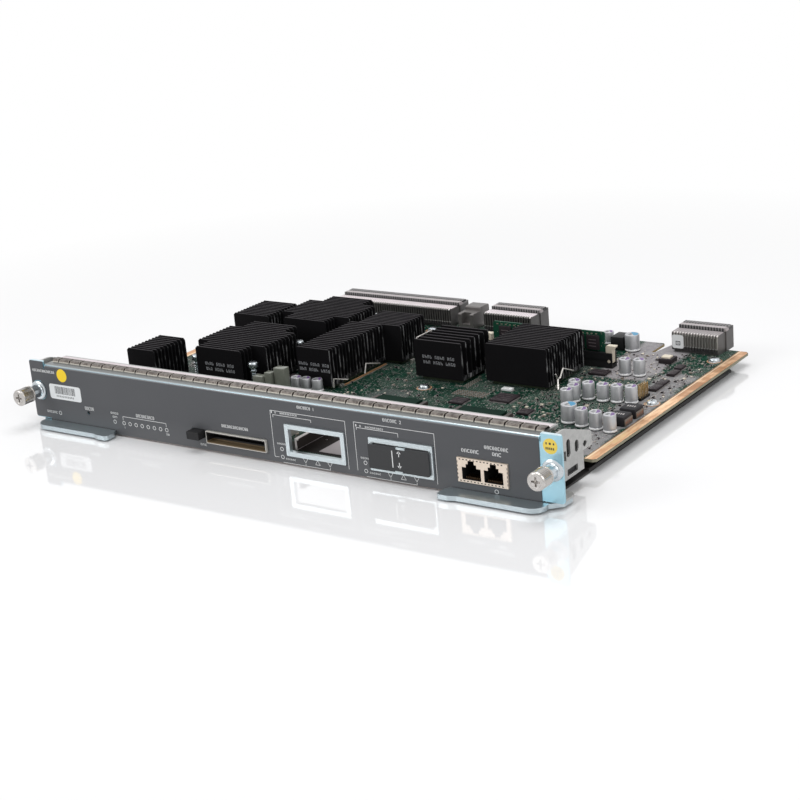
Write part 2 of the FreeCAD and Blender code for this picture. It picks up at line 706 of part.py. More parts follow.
def x2_bezel(middle):
    left, right = bay_edges(middle)
    x0, x1, z0, z1 = bezel_edges(middle)
    face = -FILM - BEZEL_THICK
    ring = plate_y([(x0, z0, 0.6), (x1, z0, 0.6), (x1, z1, 0.6), (x0, z1, 0.6)], face, -FILM)
    body = ring.fuse(throat(middle, 0, -FILM, SHEET - GAP))
    bay = box(left, right, face - 1, SHEET + 1, BAY_Z, BAY_Z + BAY_HEIGHT)
    return body.cut(bay).removeSplitter()


def x2_rails(middle):
    """Pair of folded guide rails on the board, one each side of the bay, and the floor plate."""
    left, right = bay_edges(middle)
    front = BOARD_FRONT + 0.6
    back = front + RAIL_LENGTH
    rails = []
    for wall, inward in ((left, 1), (right, -1)):
        lip = wall + inward * 2.4
        section = [
            (wall, BOARD_TOP), (wall, BOARD_TOP + RAIL_HEIGHT), (lip, BOARD_TOP + RAIL_HEIGHT),
            (lip, BOARD_TOP + RAIL_HEIGHT - RAIL_SHEET),
            (wall + inward * RAIL_SHEET, BOARD_TOP + RAIL_HEIGHT - RAIL_SHEET),
            (wall + inward * RAIL_SHEET, BOARD_TOP),
        ]
        rails.append(plate_y(section, front, back))
    liner = box(left + BAY_WIDTH * 0.4, right - RAIL_SHEET - GAP, front + 3.0, back - 20.0,
                BOARD_TOP, BOARD_TOP + 0.5)
    return group(rails + [liner])


def x2_host_connectors():
    """Edge connectors at the back of both bays."""
    sockets = []
    front = BOARD_FRONT + 0.6 + RAIL_LENGTH - HOST_DEPTH
    for middle in BAY_X:
        left, right = bay_edges(middle)
        block = box(left + 4.0, right - 4.0, front, front + HOST_DEPTH, BOARD_TOP, BOARD_TOP + 8.0)
        mouth = box(left + 6.0, right - 6.0, front - 1, front + HOST_DEPTH - 3.0,
                    BOARD_TOP + 3.0, BOARD_TOP + 5.0)
        sockets.append(block.cut(mouth))
    return group(sockets)


def x2_blank_cover():
    """Dark plate on the second bay's bezel, with a plug that fits the bay."""
    middle = BAY_X[1]
    left, right = bay_edges(middle)
    x0, x1, z0, z1 = bezel_edges(middle)
    face = -FILM - BEZEL_THICK
    front = face - 1.4
    plate = plate_y(
        [(x0 + 0.3, BAY_Z - 1.0, 0.6), (right + 0.8, BAY_Z - 1.0, 1.2),
         (right + 0.8, BAY_Z + BAY_HEIGHT - 0.8, 1.2), (x0 + 0.3, BAY_Z + BAY_HEIGHT - 0.8, 0.6)],
        front, face,
    )
    plug = box(left + GAP, right - GAP, face, BOARD_FRONT, BAY_Z + GAP, BAY_Z + BAY_HEIGHT - 0.8)
    core = box(left + 2.0, right - 2.0, face + 1.2, BOARD_FRONT + 1, BAY_Z + 2.0,
               BAY_Z + BAY_HEIGHT - 2.5)
    return plate.fuse(plug).cut(core).removeSplitter()


# ---------------------------------------------------------------- sockets in the panel
def rj45_jack():
    shell = box(JACK_X0, JACK_X1, -FILM - JACK_PROUD, JACK_DEPTH, BOARD_TOP, JACK_TOP)
    ports = []
    floor = BOARD_TOP + PORT_FLOOR
    for side in (-1, 1):
        middle = PORT_MID + side * PORT_PITCH / 2
        half = PORT_WIDTH / 2
        mouth = [
            (middle - half, floor), (middle + half, floor), (middle + half, floor + 7.0),
            (middle + half - 2.6, floor + 7.0), (middle + half - 2.6, floor + 9.0),
            (middle + half - 4.0, floor + 9.0), (middle + half - 4.0, floor + 11.0),
            (middle - half + 4.0, floor + 11.0), (middle - half + 4.0, floor + 9.0),
            (middle - half + 2.6, floor + 9.0), (middle - half + 2.6, floor + 7.0),
            (middle - half, floor + 7.0),
        ]
        ports.append(plate_y(mouth, -FILM - JACK_PROUD - 1, -FILM - JACK_PROUD + PORT_DEPTH))
    return shell.cut(ports)


def flash_connector():
    """Card socket: a thin metal nose through the panel and a moulded body on the board."""
    nose = box(FLASH_X0, FLASH_X1, -FILM - FLASH_PROUD, BOARD_FRONT + 1.2, FLASH_Z0, FLASH_Z1)
    body = box(FLASH_X0, FLASH_X1, BOARD_FRONT + 1.2, FLASH_DEPTH, BOARD_TOP, FLASH_Z1)
    mouth = box(FLASH_X0 + FLASH_WALL, FLASH_X1 - FLASH_WALL, -FILM - FLASH_PROUD - 1,
                FLASH_DEPTH - 6.0, BOARD_TOP + GAP, FLASH_Z1 - FLASH_WALL)
    lip = box(FLASH_X0 + FLASH_WALL, FLASH_X1 - FLASH_WALL, -FILM - FLASH_PROUD - 1,
              BOARD_FRONT, FLASH_Z0 + FLASH_WALL, BOARD_TOP + 1)
    return nose.fuse(body).cut([mouth, lip]).removeSplitter()


def flash_eject_button():
    """Push bar beside the card socket; its stem runs along the board."""
    x1 = EJECT_X0 + EJECT_WIDTH
    z0 = BOARD_TOP + GAP
    z1 = z0 + EJECT_HEIGHT
    front = -FILM - EJECT_PROUD
    head = plate_y([(EJECT_X0, z0, -0.4), (x1, z0, -0.4), (x1, z1, -0.4), (EJECT_X0, z1, -0.4)],
                   front, SHEET + 1.0)
    stem = box(EJECT_X0 + 3.0, x1 - 1.0, SHEET + 1.0, FLASH_DEPTH - EJECT_TRAVEL, z0, z0 + 2.4)
    return head.fuse(stem).removeSplitter()


def eject_guide():
    """Bracket on the board that carries the push bar's stem."""
    x1 = EJECT_X0 + EJECT_WIDTH
    guide = box(EJECT_X0 + 1.6, x1 + 0.4, FLASH_DEPTH - 22.0, FLASH_DEPTH - 16.0,
                BOARD_TOP, BOARD_TOP + 5.0)
    way = box(EJECT_X0 + 3.0 - RUNNING, x1 - 1.0 + RUNNING, 0, FLASH_DEPTH,
              BOARD_TOP + GAP - RUNNING, BOARD_TOP + GAP + 2.4 + RUNNING)
    return guide.cut(way)


# ---------------------------------------------------------------- lights and reset
def status_leds():
    """Small light blocks on the board, each with a pipe that ends behind the film."""
    blocks = []
    for x, z in light_spots():
        back = BOARD_FRONT + 3.4
        block = box(x - 1.5, x + 1.5, BOARD_FRONT + 0.2, back, BOARD_TOP, z + 1.3)
        pipe = box(x - LIGHT_HALF, x + LIGHT_HALF, 0, BOARD_FRONT + 0.2, z - LIGHT_HALF, z + LIGHT_HALF)
        blocks.append(block.fuse(pipe).removeSplitter())
    return group(blocks)


def reset_switch():
    """Tactile switch body with a bore for its plunger."""
    body = box(RESET_X - 3.0, RESET_X + 3.0, BOARD_FRONT + 1.0, BOARD_FRONT + 4.6,
               BOARD_TOP, RESET_Z + 2.6)
    bore = rod_y(RESET_X, RESET_Z, RESET_R + RUNNING, BOARD_FRONT, BOARD_FRONT + 3.0)
    return body.cut(bore)


def reset_plunger():
    return rod_y(RESET_X, RESET_Z, RESET_R, 0.4, BOARD_FRONT + 3.0 - RESET_TRAVEL - 0.1)


# ---------------------------------------------------------------- heatsinks
def heatsink(middle, front, width, depth, wanted_pitch, corner, notch_x, notch_y):
    """Finned block: upright plates across X on a thin base; its four corners may be notched."""
    left = SPREAD * middle - width / 2
    base_top = CHIP_TOP + SINK_BASE

    def fin_outline(inset):
        x0, x1 = left + inset, left + width - inset
        return [(x0, base_top), (x0, SINK_TOP, -corner), (x1, SINK_TOP, -corner), (x1, base_top)]

    back = front + depth
    base = box(left, left + width, front + notch_y, back - notch_y, CHIP_TOP, base_top)
    fins = int((depth - FIN_THICK) / wanted_pitch + 0.5) + 1
    pitch = (depth - FIN_THICK) / (fins - 1)
    plates = []
    if notch_x:
        plates.append(box(left + notch_x, left + width - notch_x, front, back, CHIP_TOP, base_top))
    for i in range(fins):
        y = front + pitch * i
        in_body = front + notch_y <= y and y + FIN_THICK <= back - notch_y
        plates.append(plate_y(fin_outline(0 if in_body else notch_x), y, y + FIN_THICK))
    return base.fuse(plates).removeSplitter()


def chip_packages():
    """Square packages between the board and each heatsink."""
    chips = []
    for _, middle, front, width, depth, _, _, notch_x, _ in SINKS:
        left = SPREAD * middle - width / 2
        inset = CHIP_INSET + notch_x
        chips.append(
            box(left + inset, left + width - inset, front + CHIP_INSET,
                front + depth - CHIP_INSET, BOARD_TOP, CHIP_TOP)
        )
    return group(chips)


def heatsink_posts():
    """Sprung posts that press each notched heatsink on its chip: collar and slotted head."""
    head_z = POST_TOP - POST_HEAD
    shank = plate_z(faceted(POST_R, 6), BOARD_TOP, head_z)
    collar = plate_z(faceted(POST_COLLAR_R, 6), head_z - 2.2, head_z - 1.4)
    head = plate_z(faceted(POST_HEAD_R, 8), head_z, POST_TOP)
    slot = box(-POST_HEAD_R, POST_HEAD_R, -POST_SLOT / 2, POST_SLOT / 2, POST_TOP - POST_SLOT, POST_TOP)
    post = shank.fuse([collar, head]).cut(slot).removeSplitter()
    posts = []
    for _, middle, front, width, depth, _, _, notch_x, notch_y in SINKS:
        if notch_x:
            reach_x, reach_y = (width - notch_x) / 2, (depth - notch_y) / 2
            posts += [at(post, SPREAD * middle + i * reach_x, front + depth / 2 + j * reach_y)
                      for i in (-1, 1) for j in (-1, 1)]
    return group(posts)


# ---------------------------------------------------------------- rear connectors
def backplane_connector(left, width):
    """Right-angle connector: a comb of wafers on a seat, with a grooved head in a rear shroud."""
    right = left + width
    shroud_front = CONN_BACK - SHROUD_DEPTH
    foot = BOARD_TOP + CONN_SEAT
    seat = box(left + 1.0, right - 1.0, CONN_FRONT + 2.4, shroud_front, BOARD_TOP, foot)
    groove = CONN_BODY_TOP - 0.6
    section = [
        (CONN_FRONT, foot), (CONN_FRONT, CONN_BODY_TOP, -0.4), (CONN_HEAD_Y, CONN_BODY_TOP),
        (CONN_HEAD_Y, groove), (CONN_HEAD_Y + 1.2, groove), (CONN_HEAD_Y + 1.2, CONN_TOP),
        (CONN_HEAD_GROOVE, CONN_TOP), (CONN_HEAD_GROOVE, groove), (CONN_HEAD_GROOVE + 1.2, groove),
        (CONN_HEAD_GROOVE + 1.2, CONN_TOP), (CONN_BACK - 2.0, CONN_TOP), (CONN_BACK - 2.0, foot),
    ]
    body = plate_x(section, left + 0.6, right - 0.6)
    grooves = []
    count = int((width - 2.0) / WAFER_PITCH)
    first = left + (width - WAFER_PITCH * (count - 1)) / 2
    for i in range(count):
        x = first + WAFER_PITCH * i
        grooves.append(
            box(x - 0.3, x + 0.3, CONN_FRONT - 1, CONN_FRONT + 1.0, foot - 1, CONN_BODY_TOP - 2.0)
        )
    body = body.cut(grooves)
    shroud = box(left, right, shroud_front, CONN_BACK, BOARD_TOP, CONN_TOP - 1.0)
    mouth = box(left + 1.4, right - 1.4, CONN_BACK - 1.6, CONN_BACK + 1, foot, CONN_TOP - 3.0)
    return body.fuse([seat, shroud]).cut(mouth).removeSplitter()


def guide_block():
    """Alignment socket between the long and the middle connector."""
    left = SPREAD * GUIDE_LEFT
    right = left + GUIDE_WIDTH
    block = plate_x(
        [(CONN_FRONT, BOARD_TOP), (CONN_FRONT, GUIDE_TOP - 1.6, -0.6), (CONN_HEAD_Y, GUIDE_TOP - 1.6),
         (CONN_HEAD_Y, GUIDE_TOP + 1.0, -0.8), (CONN_BACK - 2.0, GUIDE_TOP + 1.0, -1.2),
         (CONN_BACK - 2.0, BOARD_TOP)],
        left, right,
    )
    middle = (left + right) / 2
    bore = rod_y(middle, GUIDE_BORE_Z, GUIDE_BORE_R, CONN_BACK - 2.0 - GUIDE_BORE_DEPTH, CONN_BACK)
    channel = box(middle - 3.4, middle + 3.4, CONN_FRONT - 1.0, CONN_FRONT + 4.0,
                  BOARD_TOP + 4.0, GUIDE_TOP)
    return block.cut([bore, channel])


# ---------------------------------------------------------------- memory module
def memory_socket():
    y0 = MEM_Y - SOCKET_DEPTH / 2
    y1 = MEM_Y + SOCKET_DEPTH / 2
    x1 = MEM_X0 + MEM_LENGTH
    bar = box(MEM_X0 - LATCH_REACH, x1 + LATCH_REACH, y0, y1, BOARD_TOP, BOARD_TOP + SOCKET_HEIGHT)
    slot = box(MEM_X0 - GAP, x1 + GAP, MEM_Y - MODULE_THICK / 2 - RUNNING,
               MEM_Y + MODULE_THICK / 2 + RUNNING, BOARD_TOP + SLOT_DEPTH,
               BOARD_TOP + SOCKET_HEIGHT + 1)
    cuts = [slot]
    half = LATCH_WIDTH / 2 - 0.6 + GAP
    cuts.append(box(x1 + GAP, x1 + LATCH_REACH + 1, MEM_Y - half, MEM_Y + half,
                    BOARD_TOP + 2.0, BOARD_TOP + SOCKET_HEIGHT + 1))
    cuts.append(box(MEM_X0 - LATCH_REACH - 1, MEM_X0 - GAP, MEM_Y - half, MEM_Y + half,
                    BOARD_TOP + 2.0, BOARD_TOP + SOCKET_HEIGHT + 1))
    for x in latch_axes():
        cuts.append(rod_y(x, latch_axis_z(), LATCH_PIN_R + RUNNING, y0 - 1, y1 + 1))
    return bar.cut(cuts)


def latch_axes():
    return MEM_X0 - LATCH_REACH + 2.2, MEM_X0 + MEM_LENGTH + LATCH_REACH - 2.2


def latch_axis_z():
    return BOARD_TOP + 4.6


def memory_module():
    x1 = MEM_X0 + MEM_LENGTH
    y0 = MEM_Y - MODULE_THICK / 2
    foot = BOARD_TOP + SLOT_DEPTH
    card = plate_y([(MEM_X0, foot), (x1, foot), (x1, MODULE_TOP, -1.0), (MEM_X0, MODULE_TOP, -1.0)],
                   y0, y0 + MODULE_THICK)
    chips = []
    for i in range(5):
        x = MEM_X0 + 5.0 + (MEM_LENGTH - 10.0) / 5 * i
        chips.append(box(x, x + 11.0, y0 - 1.0, y0, BOARD_TOP + SOCKET_HEIGHT + 2.0, MODULE_TOP - 2.0))
    return card.fuse(chips).removeSplitter()


def memory_latch():
    """Right-hand latch: a tower that turns outward on a cross pin."""
    x = latch_axes()[1]
    inner = MEM_X0 + MEM_LENGTH + 4 * GAP
    foot = BOARD_TOP + 2.4
    top = BOARD_TOP + LATCH_HEIGHT
    half = LATCH_WIDTH / 2 - 0.6
    tower = plate_y(
        [(inner, foot, -0.6), (x + 1.8, foot, -1.0), (x + 2.0, top - 3.0), (x + 4.6, top, -0.6),
         (inner, top, -0.6)],
        MEM_Y - half, MEM_Y + half,
    )
    pin = rod_y(x, latch_axis_z(), LATCH_PIN_R, MEM_Y - SOCKET_DEPTH / 2, MEM_Y + SOCKET_DEPTH / 2)
    return tower.fuse(pin).removeSplitter()


# ---------------------------------------------------------------- parts on the board
CAN_R = 4.0
CAN_HEIGHT = 11.0
CAN_SPOTS = (
    (130.6, 193.4), (139.8, 195.0), (131.3, 144.4), (141.1, 144.4), (150.1, 145.4), (159.0, 146.6),
    (150.6, 100.2), (160.8, 98.4), (170.6, 97.2), (125.1, 128.3), (121.5, 145.1), (125.1, 136.9),
)
MARKED_CAN_R = 5.0
MARKED_CAN_HEIGHT = 11.4
MARKED_CAN_SPOTS = ((140.6, 103.6), (111.4, 241.1))
SMALL_CAN_R = 3.2
SMALL_CAN_HEIGHT = 8.5
SMALL_CAN_SPOTS = ((-62.2, 92.7), (-55.5, 96.2), (-48.1, 96.6), (-39.2, 97.0), (89.3, 250.1))


def can(radius, height):
    """Electrolytic capacitor: a round can on a square plastic foot."""
    foot_top = BOARD_TOP + 1.2
    top = BOARD_TOP + height
    foot = box(-radius, radius, -radius, radius, BOARD_TOP, foot_top)
    body = plate_z(faceted(radius - 0.2, 12), foot_top, top)
    return foot.fuse(body)


def cans(spots, radius, height):
    pattern = can(radius, height)
    return group([at(pattern, SPREAD * x, y) for x, y in spots])


INDUCTOR_SIDE = 11.0
INDUCTOR_HEIGHT = 6.0
INDUCTOR_SPOTS = ((169.4, 126.6), (169.4, 112.2))


def power_inductors():
    coils = []
    half = INDUCTOR_SIDE / 2
    for drawn_x, y in INDUCTOR_SPOTS:
        x = SPREAD * drawn_x
        coils.append(
            plate_z([(x - half, y - half, -1.6), (x + half, y - half, -1.6),
                     (x + half, y + half, -1.6), (x - half, y + half, -1.6)],
                    BOARD_TOP, BOARD_TOP + INDUCTOR_HEIGHT)
        )
    return group(coils)


# flat packages: (x, y, size along x, size along y, height)
FLAT_PACKS = (
    (161.0, 174.4, 5.4, 9.6, 1.8), (160.6, 184.4, 5.4, 9.6, 1.8), (158.4, 204.4, 5.4, 9.6, 1.8),
    (157.4, 216.0, 5.0, 8.0, 1.8), (83.0, 125.6, 14.0, 14.0, 1.6), (58.8, 111.6, 10.0, 10.0, 1.4),
    (114.0, 190.6, 12.0, 9.0, 1.4), (75.8, 141.2, 7.0, 4.0, 1.6), (144.0, 226.0, 9.0, 9.0, 3.2),
    (-67.4, 112.0, 14.0, 10.0, 2.2), (-26.0, 64.0, 16.0, 16.0, 1.6), (108.0, 108.0, 8.0, 8.0, 1.5),
    (-100.0, 40.0, 20.0, 20.0, 1.6), (123.0, 60.0, 14.0, 14.0, 1.6), (-46.0, 208.0, 16.0, 16.0, 1.6),
)
LEAD_REACH = 1.0


def flat_pack_chips():
    """Surface-mount packages, each with a low skirt for its rows of leads."""
    packs = []
    for drawn_x, y, wide, deep, high in FLAT_PACKS:
        x = SPREAD * drawn_x
        body = box(x - wide / 2, x + wide / 2, y - deep / 2, y + deep / 2, BOARD_TOP + 0.2,
                   BOARD_TOP + high)
        skirt = box(x - wide / 2 - LEAD_REACH, x + wide / 2 + LEAD_REACH, y - deep / 2 + 0.6,
                    y + deep / 2 - 0.6, BOARD_TOP, BOARD_TOP + 0.4)
        packs.append(body.fuse(skirt).removeSplitter())
    return group(packs)


HEADER_X = 160.9
HEADER_Y = 157.1
HEADER_ROWS = 6
HEADER_PITCH = 2.0


def pin_header():
    """Double row of square pins in a low strip."""
    middle = SPREAD * HEADER_X
    strip = box(middle - 2.0, middle + 2.0, HEADER_Y - HEADER_PITCH * HEADER_ROWS / 2,
                HEADER_Y + HEADER_PITCH * HEADER_ROWS / 2, BOARD_TOP, BOARD_TOP + 1.6)
    pins = []
    for row in range(HEADER_ROWS):
        y = HEADER_Y + HEADER_PITCH * (row - (HEADER_ROWS - 1) / 2)
        for side in (-1, 1):
            x = middle + side * HEADER_PITCH / 2
            pins.append(box(x - 0.25, x + 0.25, y - 0.25, y + 0.25, BOARD_TOP + 1.0, BOARD_TOP + 9.0))
    return strip.fuse(pins)


def heatsink_clips():
    """Wire clips that hold the tall heatsinks down, hooked under anchors on the board."""
    wire = 0.7
    clips = []
    for name, middle, front, width, depth, *_ in SINKS:
        if name not in ("heatsink_centre", "heatsink_right_back", "heatsink_centre_back"):
            continue
        left = SPREAD * middle - width / 2
        x = left + width + 3.4
        y = front + 7.0
        crest = CHIP_TOP + SINK_BASE + 2.0
        foot = box(x - 1.6, x + 1.6, y - 1.6, y + 1.6, BOARD_TOP, BOARD_TOP + 2.0)
        post = box(x - wire, x + wire, y - wire, y + wire, BOARD_TOP, crest)
        arm = box(left + width, x, y - wire, y + wire, crest - 2 * wire, crest)
        clips.append(foot.fuse([post, arm]).removeSplitter())
    return group(clips)


# ---------------------------------------------------------------- the whole module
def build():
    nodes = {
        "faceplate": faceplate(),
        "front_overlay": front_overlay(),
        "emi_finger_strip": emi_finger_strip(),
        "side_bracket_right": side_bracket(),
        "side_bracket_left": mirrored(side_bracket()),
        "carrier_tray": carrier_tray(),
        "tray_rivets": tray_rivets(),
        "board_standoffs": board_standoffs(),
        "board_screws": board_screws(),
        "main_board": main_board(),
        "ejector_lever_right": ejector_lever(),
        "ejector_lever_left": mirrored(ejector_lever()),
        "lever_pivot_right": lever_pivot(),
        "lever_pivot_left": mirrored(lever_pivot()),
        "x2_bezel_1": x2_bezel(BAY_X[0]),
        "x2_bezel_2": x2_bezel(BAY_X[1]),
        "x2_rails_1": x2_rails(BAY_X[0]),
        "x2_rails_2": x2_rails(BAY_X[1]),
        "x2_host_connectors": x2_host_connectors(),
        "x2_blank_cover": x2_blank_cover(),
        "rj45_jack": rj45_jack(),
        "flash_connector": flash_connector(),
        "flash_eject_button": flash_eject_button(),
        "flash_eject_guide": eject_guide(),
        "status_leds": status_leds(),
        "reset_switch": reset_switch(),
        "reset_plunger": reset_plunger(),
        "chip_packages": chip_packages(),
        "heatsink_posts": heatsink_posts(),
        "heatsink_clips": heatsink_clips(),
        "guide_block": guide_block(),
        "memory_socket": memory_socket(),
        "memory_module": memory_module(),
        "memory_latch_right": memory_latch(),
        "capacitors": cans(CAN_SPOTS, CAN_R, CAN_HEIGHT),
        "capacitors_marked": cans(MARKED_CAN_SPOTS, MARKED_CAN_R, MARKED_CAN_HEIGHT),
        "capacitors_small": cans(SMALL_CAN_SPOTS, SMALL_CAN_R, SMALL_CAN_HEIGHT),
        "power_inductors": power_inductors(),
        "flat_pack_chips": flat_pack_chips(),
        "pin_header": pin_header(),
    }
    latch = memory_latch()
    socket_middle = MEM_X0 + MEM_LENGTH / 2
    nodes["memory_latch_left"] = latch.mirror(Vector(socket_middle, 0, 0), Vector(1, 0, 0))
    for side, x in (("right", SCREW_X), ("left", -SCREW_X)):
        nodes["thumbscrew_" + side] = thumbscrew(x)
        nodes["screw_ferrule_" + side] = screw_ferrule(x)
        nodes["screw_retainer_" + side] = screw_retainer(x)
        nodes["screw_spring_" + side] = screw_spring(x)
    for name, *size in SINKS:
        nodes[name] = heatsink(*size)
    for name, left, width in REAR_CONNECTORS:
        nodes[name] = backplane_connector(SPREAD * left, SPREAD * width)
    return nodes


def main():
    os.makedirs("parts", exist_ok=True)
    for name, shape in build().items():
        shape.exportStep(os.path.join("parts", name + ".step"))


main()
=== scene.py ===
"""Finishes and small parts of a supervisor module for a chassis switch, set on its CAD frame."""
import json
import math
import random

import bmesh
import bpy
from mathutils import Matrix, Vector


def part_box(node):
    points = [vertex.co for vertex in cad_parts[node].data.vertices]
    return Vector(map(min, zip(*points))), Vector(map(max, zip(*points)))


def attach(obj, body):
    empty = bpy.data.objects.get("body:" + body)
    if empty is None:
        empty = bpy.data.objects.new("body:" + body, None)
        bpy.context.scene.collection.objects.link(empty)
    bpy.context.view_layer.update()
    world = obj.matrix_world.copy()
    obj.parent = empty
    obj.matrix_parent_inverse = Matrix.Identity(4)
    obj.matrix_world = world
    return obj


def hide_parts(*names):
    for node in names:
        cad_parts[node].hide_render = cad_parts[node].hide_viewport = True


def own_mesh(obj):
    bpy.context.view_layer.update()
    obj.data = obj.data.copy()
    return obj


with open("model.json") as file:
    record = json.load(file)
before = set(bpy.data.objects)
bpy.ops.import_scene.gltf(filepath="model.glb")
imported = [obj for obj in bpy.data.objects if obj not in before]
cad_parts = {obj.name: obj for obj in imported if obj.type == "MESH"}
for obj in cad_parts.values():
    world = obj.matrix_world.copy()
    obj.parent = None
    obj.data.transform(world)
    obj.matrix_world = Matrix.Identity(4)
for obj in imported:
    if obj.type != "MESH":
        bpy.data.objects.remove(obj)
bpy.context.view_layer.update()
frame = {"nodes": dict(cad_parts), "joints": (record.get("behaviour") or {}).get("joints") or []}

MM = 0.001
TO_MM = 1000.0
GRAIN_DEPTH = 0.0001
MODULE = "module"
SIDES = (("right", 1), ("left", -1))
chance = random.Random(20)


# ---------------------------------------------------------------- materials
class Term:
    """A value in a material; arithmetic on it adds Math nodes."""

    def __init__(self, recipe, socket):
        self.recipe = recipe
        self.socket = socket

    def maths(self, operation, first, second=None):
        return self.recipe.node("ShaderNodeMath", {"operation": operation}, {0: first, 1: second})

    def __add__(self, other):
        return self.maths("ADD", self, other)

    def __radd__(self, other):
        return self.maths("ADD", other, self)

    def __sub__(self, other):
        return self.maths("SUBTRACT", self, other)

    def __rsub__(self, other):
        return self.maths("SUBTRACT", other, self)

    def __mul__(self, other):
        return self.maths("MULTIPLY", self, other)

    def __rmul__(self, other):
        return self.maths("MULTIPLY", other, self)

    def above(self, edge):
        return self.maths("GREATER_THAN", self, edge)

    def below(self, edge):
        return self.maths("LESS_THAN", self, edge)

    def between(self, low, high):
        return self.above(low) * self.below(high)

    def larger(self, other):
        return self.maths("MAXIMUM", self, other)

    def from_line(self, first, pitch):
        """Distance to the nearest of the evenly spaced lines that start at first."""
        return self.maths("PINGPONG", self - first, pitch / 2)

    def ramp(self, low, high):
        """0 below low, 1 above high and straight between."""
        return self.recipe.node(
            "ShaderNodeMapRange", {"clamp": True}, {"Value": self, "From Min": low, "From Max": high})


SOCKETS = {"specular": "Specular IOR Level", "ior": "IOR"}


class Nodes:
    """A node tree that is filled through one method."""

    def __init__(self, tree):
        self.tree = tree
        tree.nodes.clear()

    def node(self, kind, settings=None, inputs=None, output=0):
        """Adds a node: its settings first, then the values or links of its sockets."""
        made = self.tree.nodes.new(kind)
        for key, value in (settings or {}).items():
            setattr(made, key, value)
        for key, value in (inputs or {}).items():
            self.feed(made.inputs[key], value)
        return Term(self, made.outputs[output])

    def feed(self, socket, value):
        """Links a term to a socket, or sets the socket's own value."""
        if value is None:
            return
        if isinstance(value, Term):
            self.tree.links.new(value.socket, socket)
        elif isinstance(value, tuple) and len(value) == 3 and socket.type == "RGBA":
            socket.default_value = (*value, 1.0)
        else:
            socket.default_value = value


class Recipe(Nodes):
    """A material whose surface is one Principled shader."""

    def __init__(self, name, **plain):
        self.material = bpy.data.materials.new(name)
        self.material.use_nodes = True
        super().__init__(self.material.node_tree)
        self.surface = self.tree.nodes.new("ShaderNodeBsdfPrincipled")
        self.output = self.tree.nodes.new("ShaderNodeOutputMaterial")
        self.tree.links.new(self.surface.outputs[0], self.output.inputs[0])
        self.where = self.node("ShaderNodeTexCoord", output="Object")
        for key, value in plain.items():
            self.socket(key).default_value = value

    def socket(self, key):
        return self.surface.inputs[SOCKETS.get(key, key.replace("_", " ").title())]

    def axes(self):
        """Object coordinates X, Y and Z in millimetres."""
        split = self.tree.nodes.new("ShaderNodeSeparateXYZ")
        self.tree.links.new(self.where.socket, split.inputs[0])
        return [Term(self, out) * TO_MM for out in split.outputs]

    def noise(self, scale, detail=3.0, stretch=(1.0, 1.0, 1.0), rough=0.5):
        """Cloudy pattern, finer along the axes whose stretch is larger."""
        place = self.node("ShaderNodeMapping", None, {"Vector": self.where, "Scale": stretch})
        return self.node("ShaderNodeTexNoise", None, {
            "Vector": place, "Scale": scale, "Detail": detail, "Roughness": rough})

    def cells(self, pitch, stretch=(1.0, 1.0, 1.0), scatter=1.0, metric="CHEBYCHEV"):
        """Distance to the middle of cells pitch millimetres apart, in shares of the pitch."""
        place = self.node("ShaderNodeMapping", None, {"Vector": self.where, "Scale": stretch})
        return self.node("ShaderNodeTexVoronoi", {"feature": "F1", "distance": metric},
                         {"Vector": place, "Scale": TO_MM / pitch, "Randomness": scatter})

    def mix(self, share, first, second):
        return self.node("ShaderNodeMix", {"data_type": "RGBA"}, {0: share, 6: first, 7: second}, 2)

    def over(self, tone, *layers):
        """Lays pairs of a share and a colour over a tone, one after the other."""
        for share, colour in layers:
            tone = self.mix(share, tone, colour)
        return tone

    def bump(self, height, strength, depth=GRAIN_DEPTH):
        normal = self.node("ShaderNodeBump", None,
                           {"Height": height, "Strength": strength, "Distance": depth})
        self.feed(self.surface.inputs["Normal"], normal)

    def paint(self, **links):
        """Feeds the surface's sockets and gives the finished material."""
        for key, value in links.items():
            self.feed(self.socket(key), value)
        return self.material


def tint(colour, share):
    """A colour made darker or lighter."""
    return tuple(min(1.0, max(0.0, c * share)) for c in colour)


def span(name):
    """A CAD node's lowest and highest corners, in millimetres."""
    low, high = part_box(name)
    return [c * TO_MM for c in low], [c * TO_MM for c in high]


def finish(name, colour, roughness, metallic=0.0, vary=0.10, grain=900.0, stretch=(1, 1, 1),
           wear=0.08, dent=0.10, coat=0.0, specular=0.5, zones=None):
    """A plain surface with cloudy tone, uneven gloss and a fine grain.

    zones(recipe, tone, x, y, z) may return another tone for parts of the surface.
    """
    recipe = Recipe(name, metallic=metallic, coat_weight=coat, specular=specular)
    fine = recipe.noise(grain, 4.0, stretch)
    broad = recipe.noise(45.0, 2.0)
    cloud = fine * 0.45 + broad * 0.55
    tone = recipe.mix(cloud, tint(colour, 1 - vary), tint(colour, 1 + vary))
    if zones:
        tone = zones(recipe, tone, *recipe.axes())
    recipe.bump(fine, dent)
    return recipe.paint(base_color=tone, roughness=roughness - wear / 2 + broad * wear)


# Where the panel's sheet changes tone: across, up and back.
PANEL_SIDE = 181.6
PANEL_FOLD = 39.9
FILM_TOP = 38.6
FILM_BACK = 0.28
BEND_BACK = 1.1
EAR_TOP = 42.1


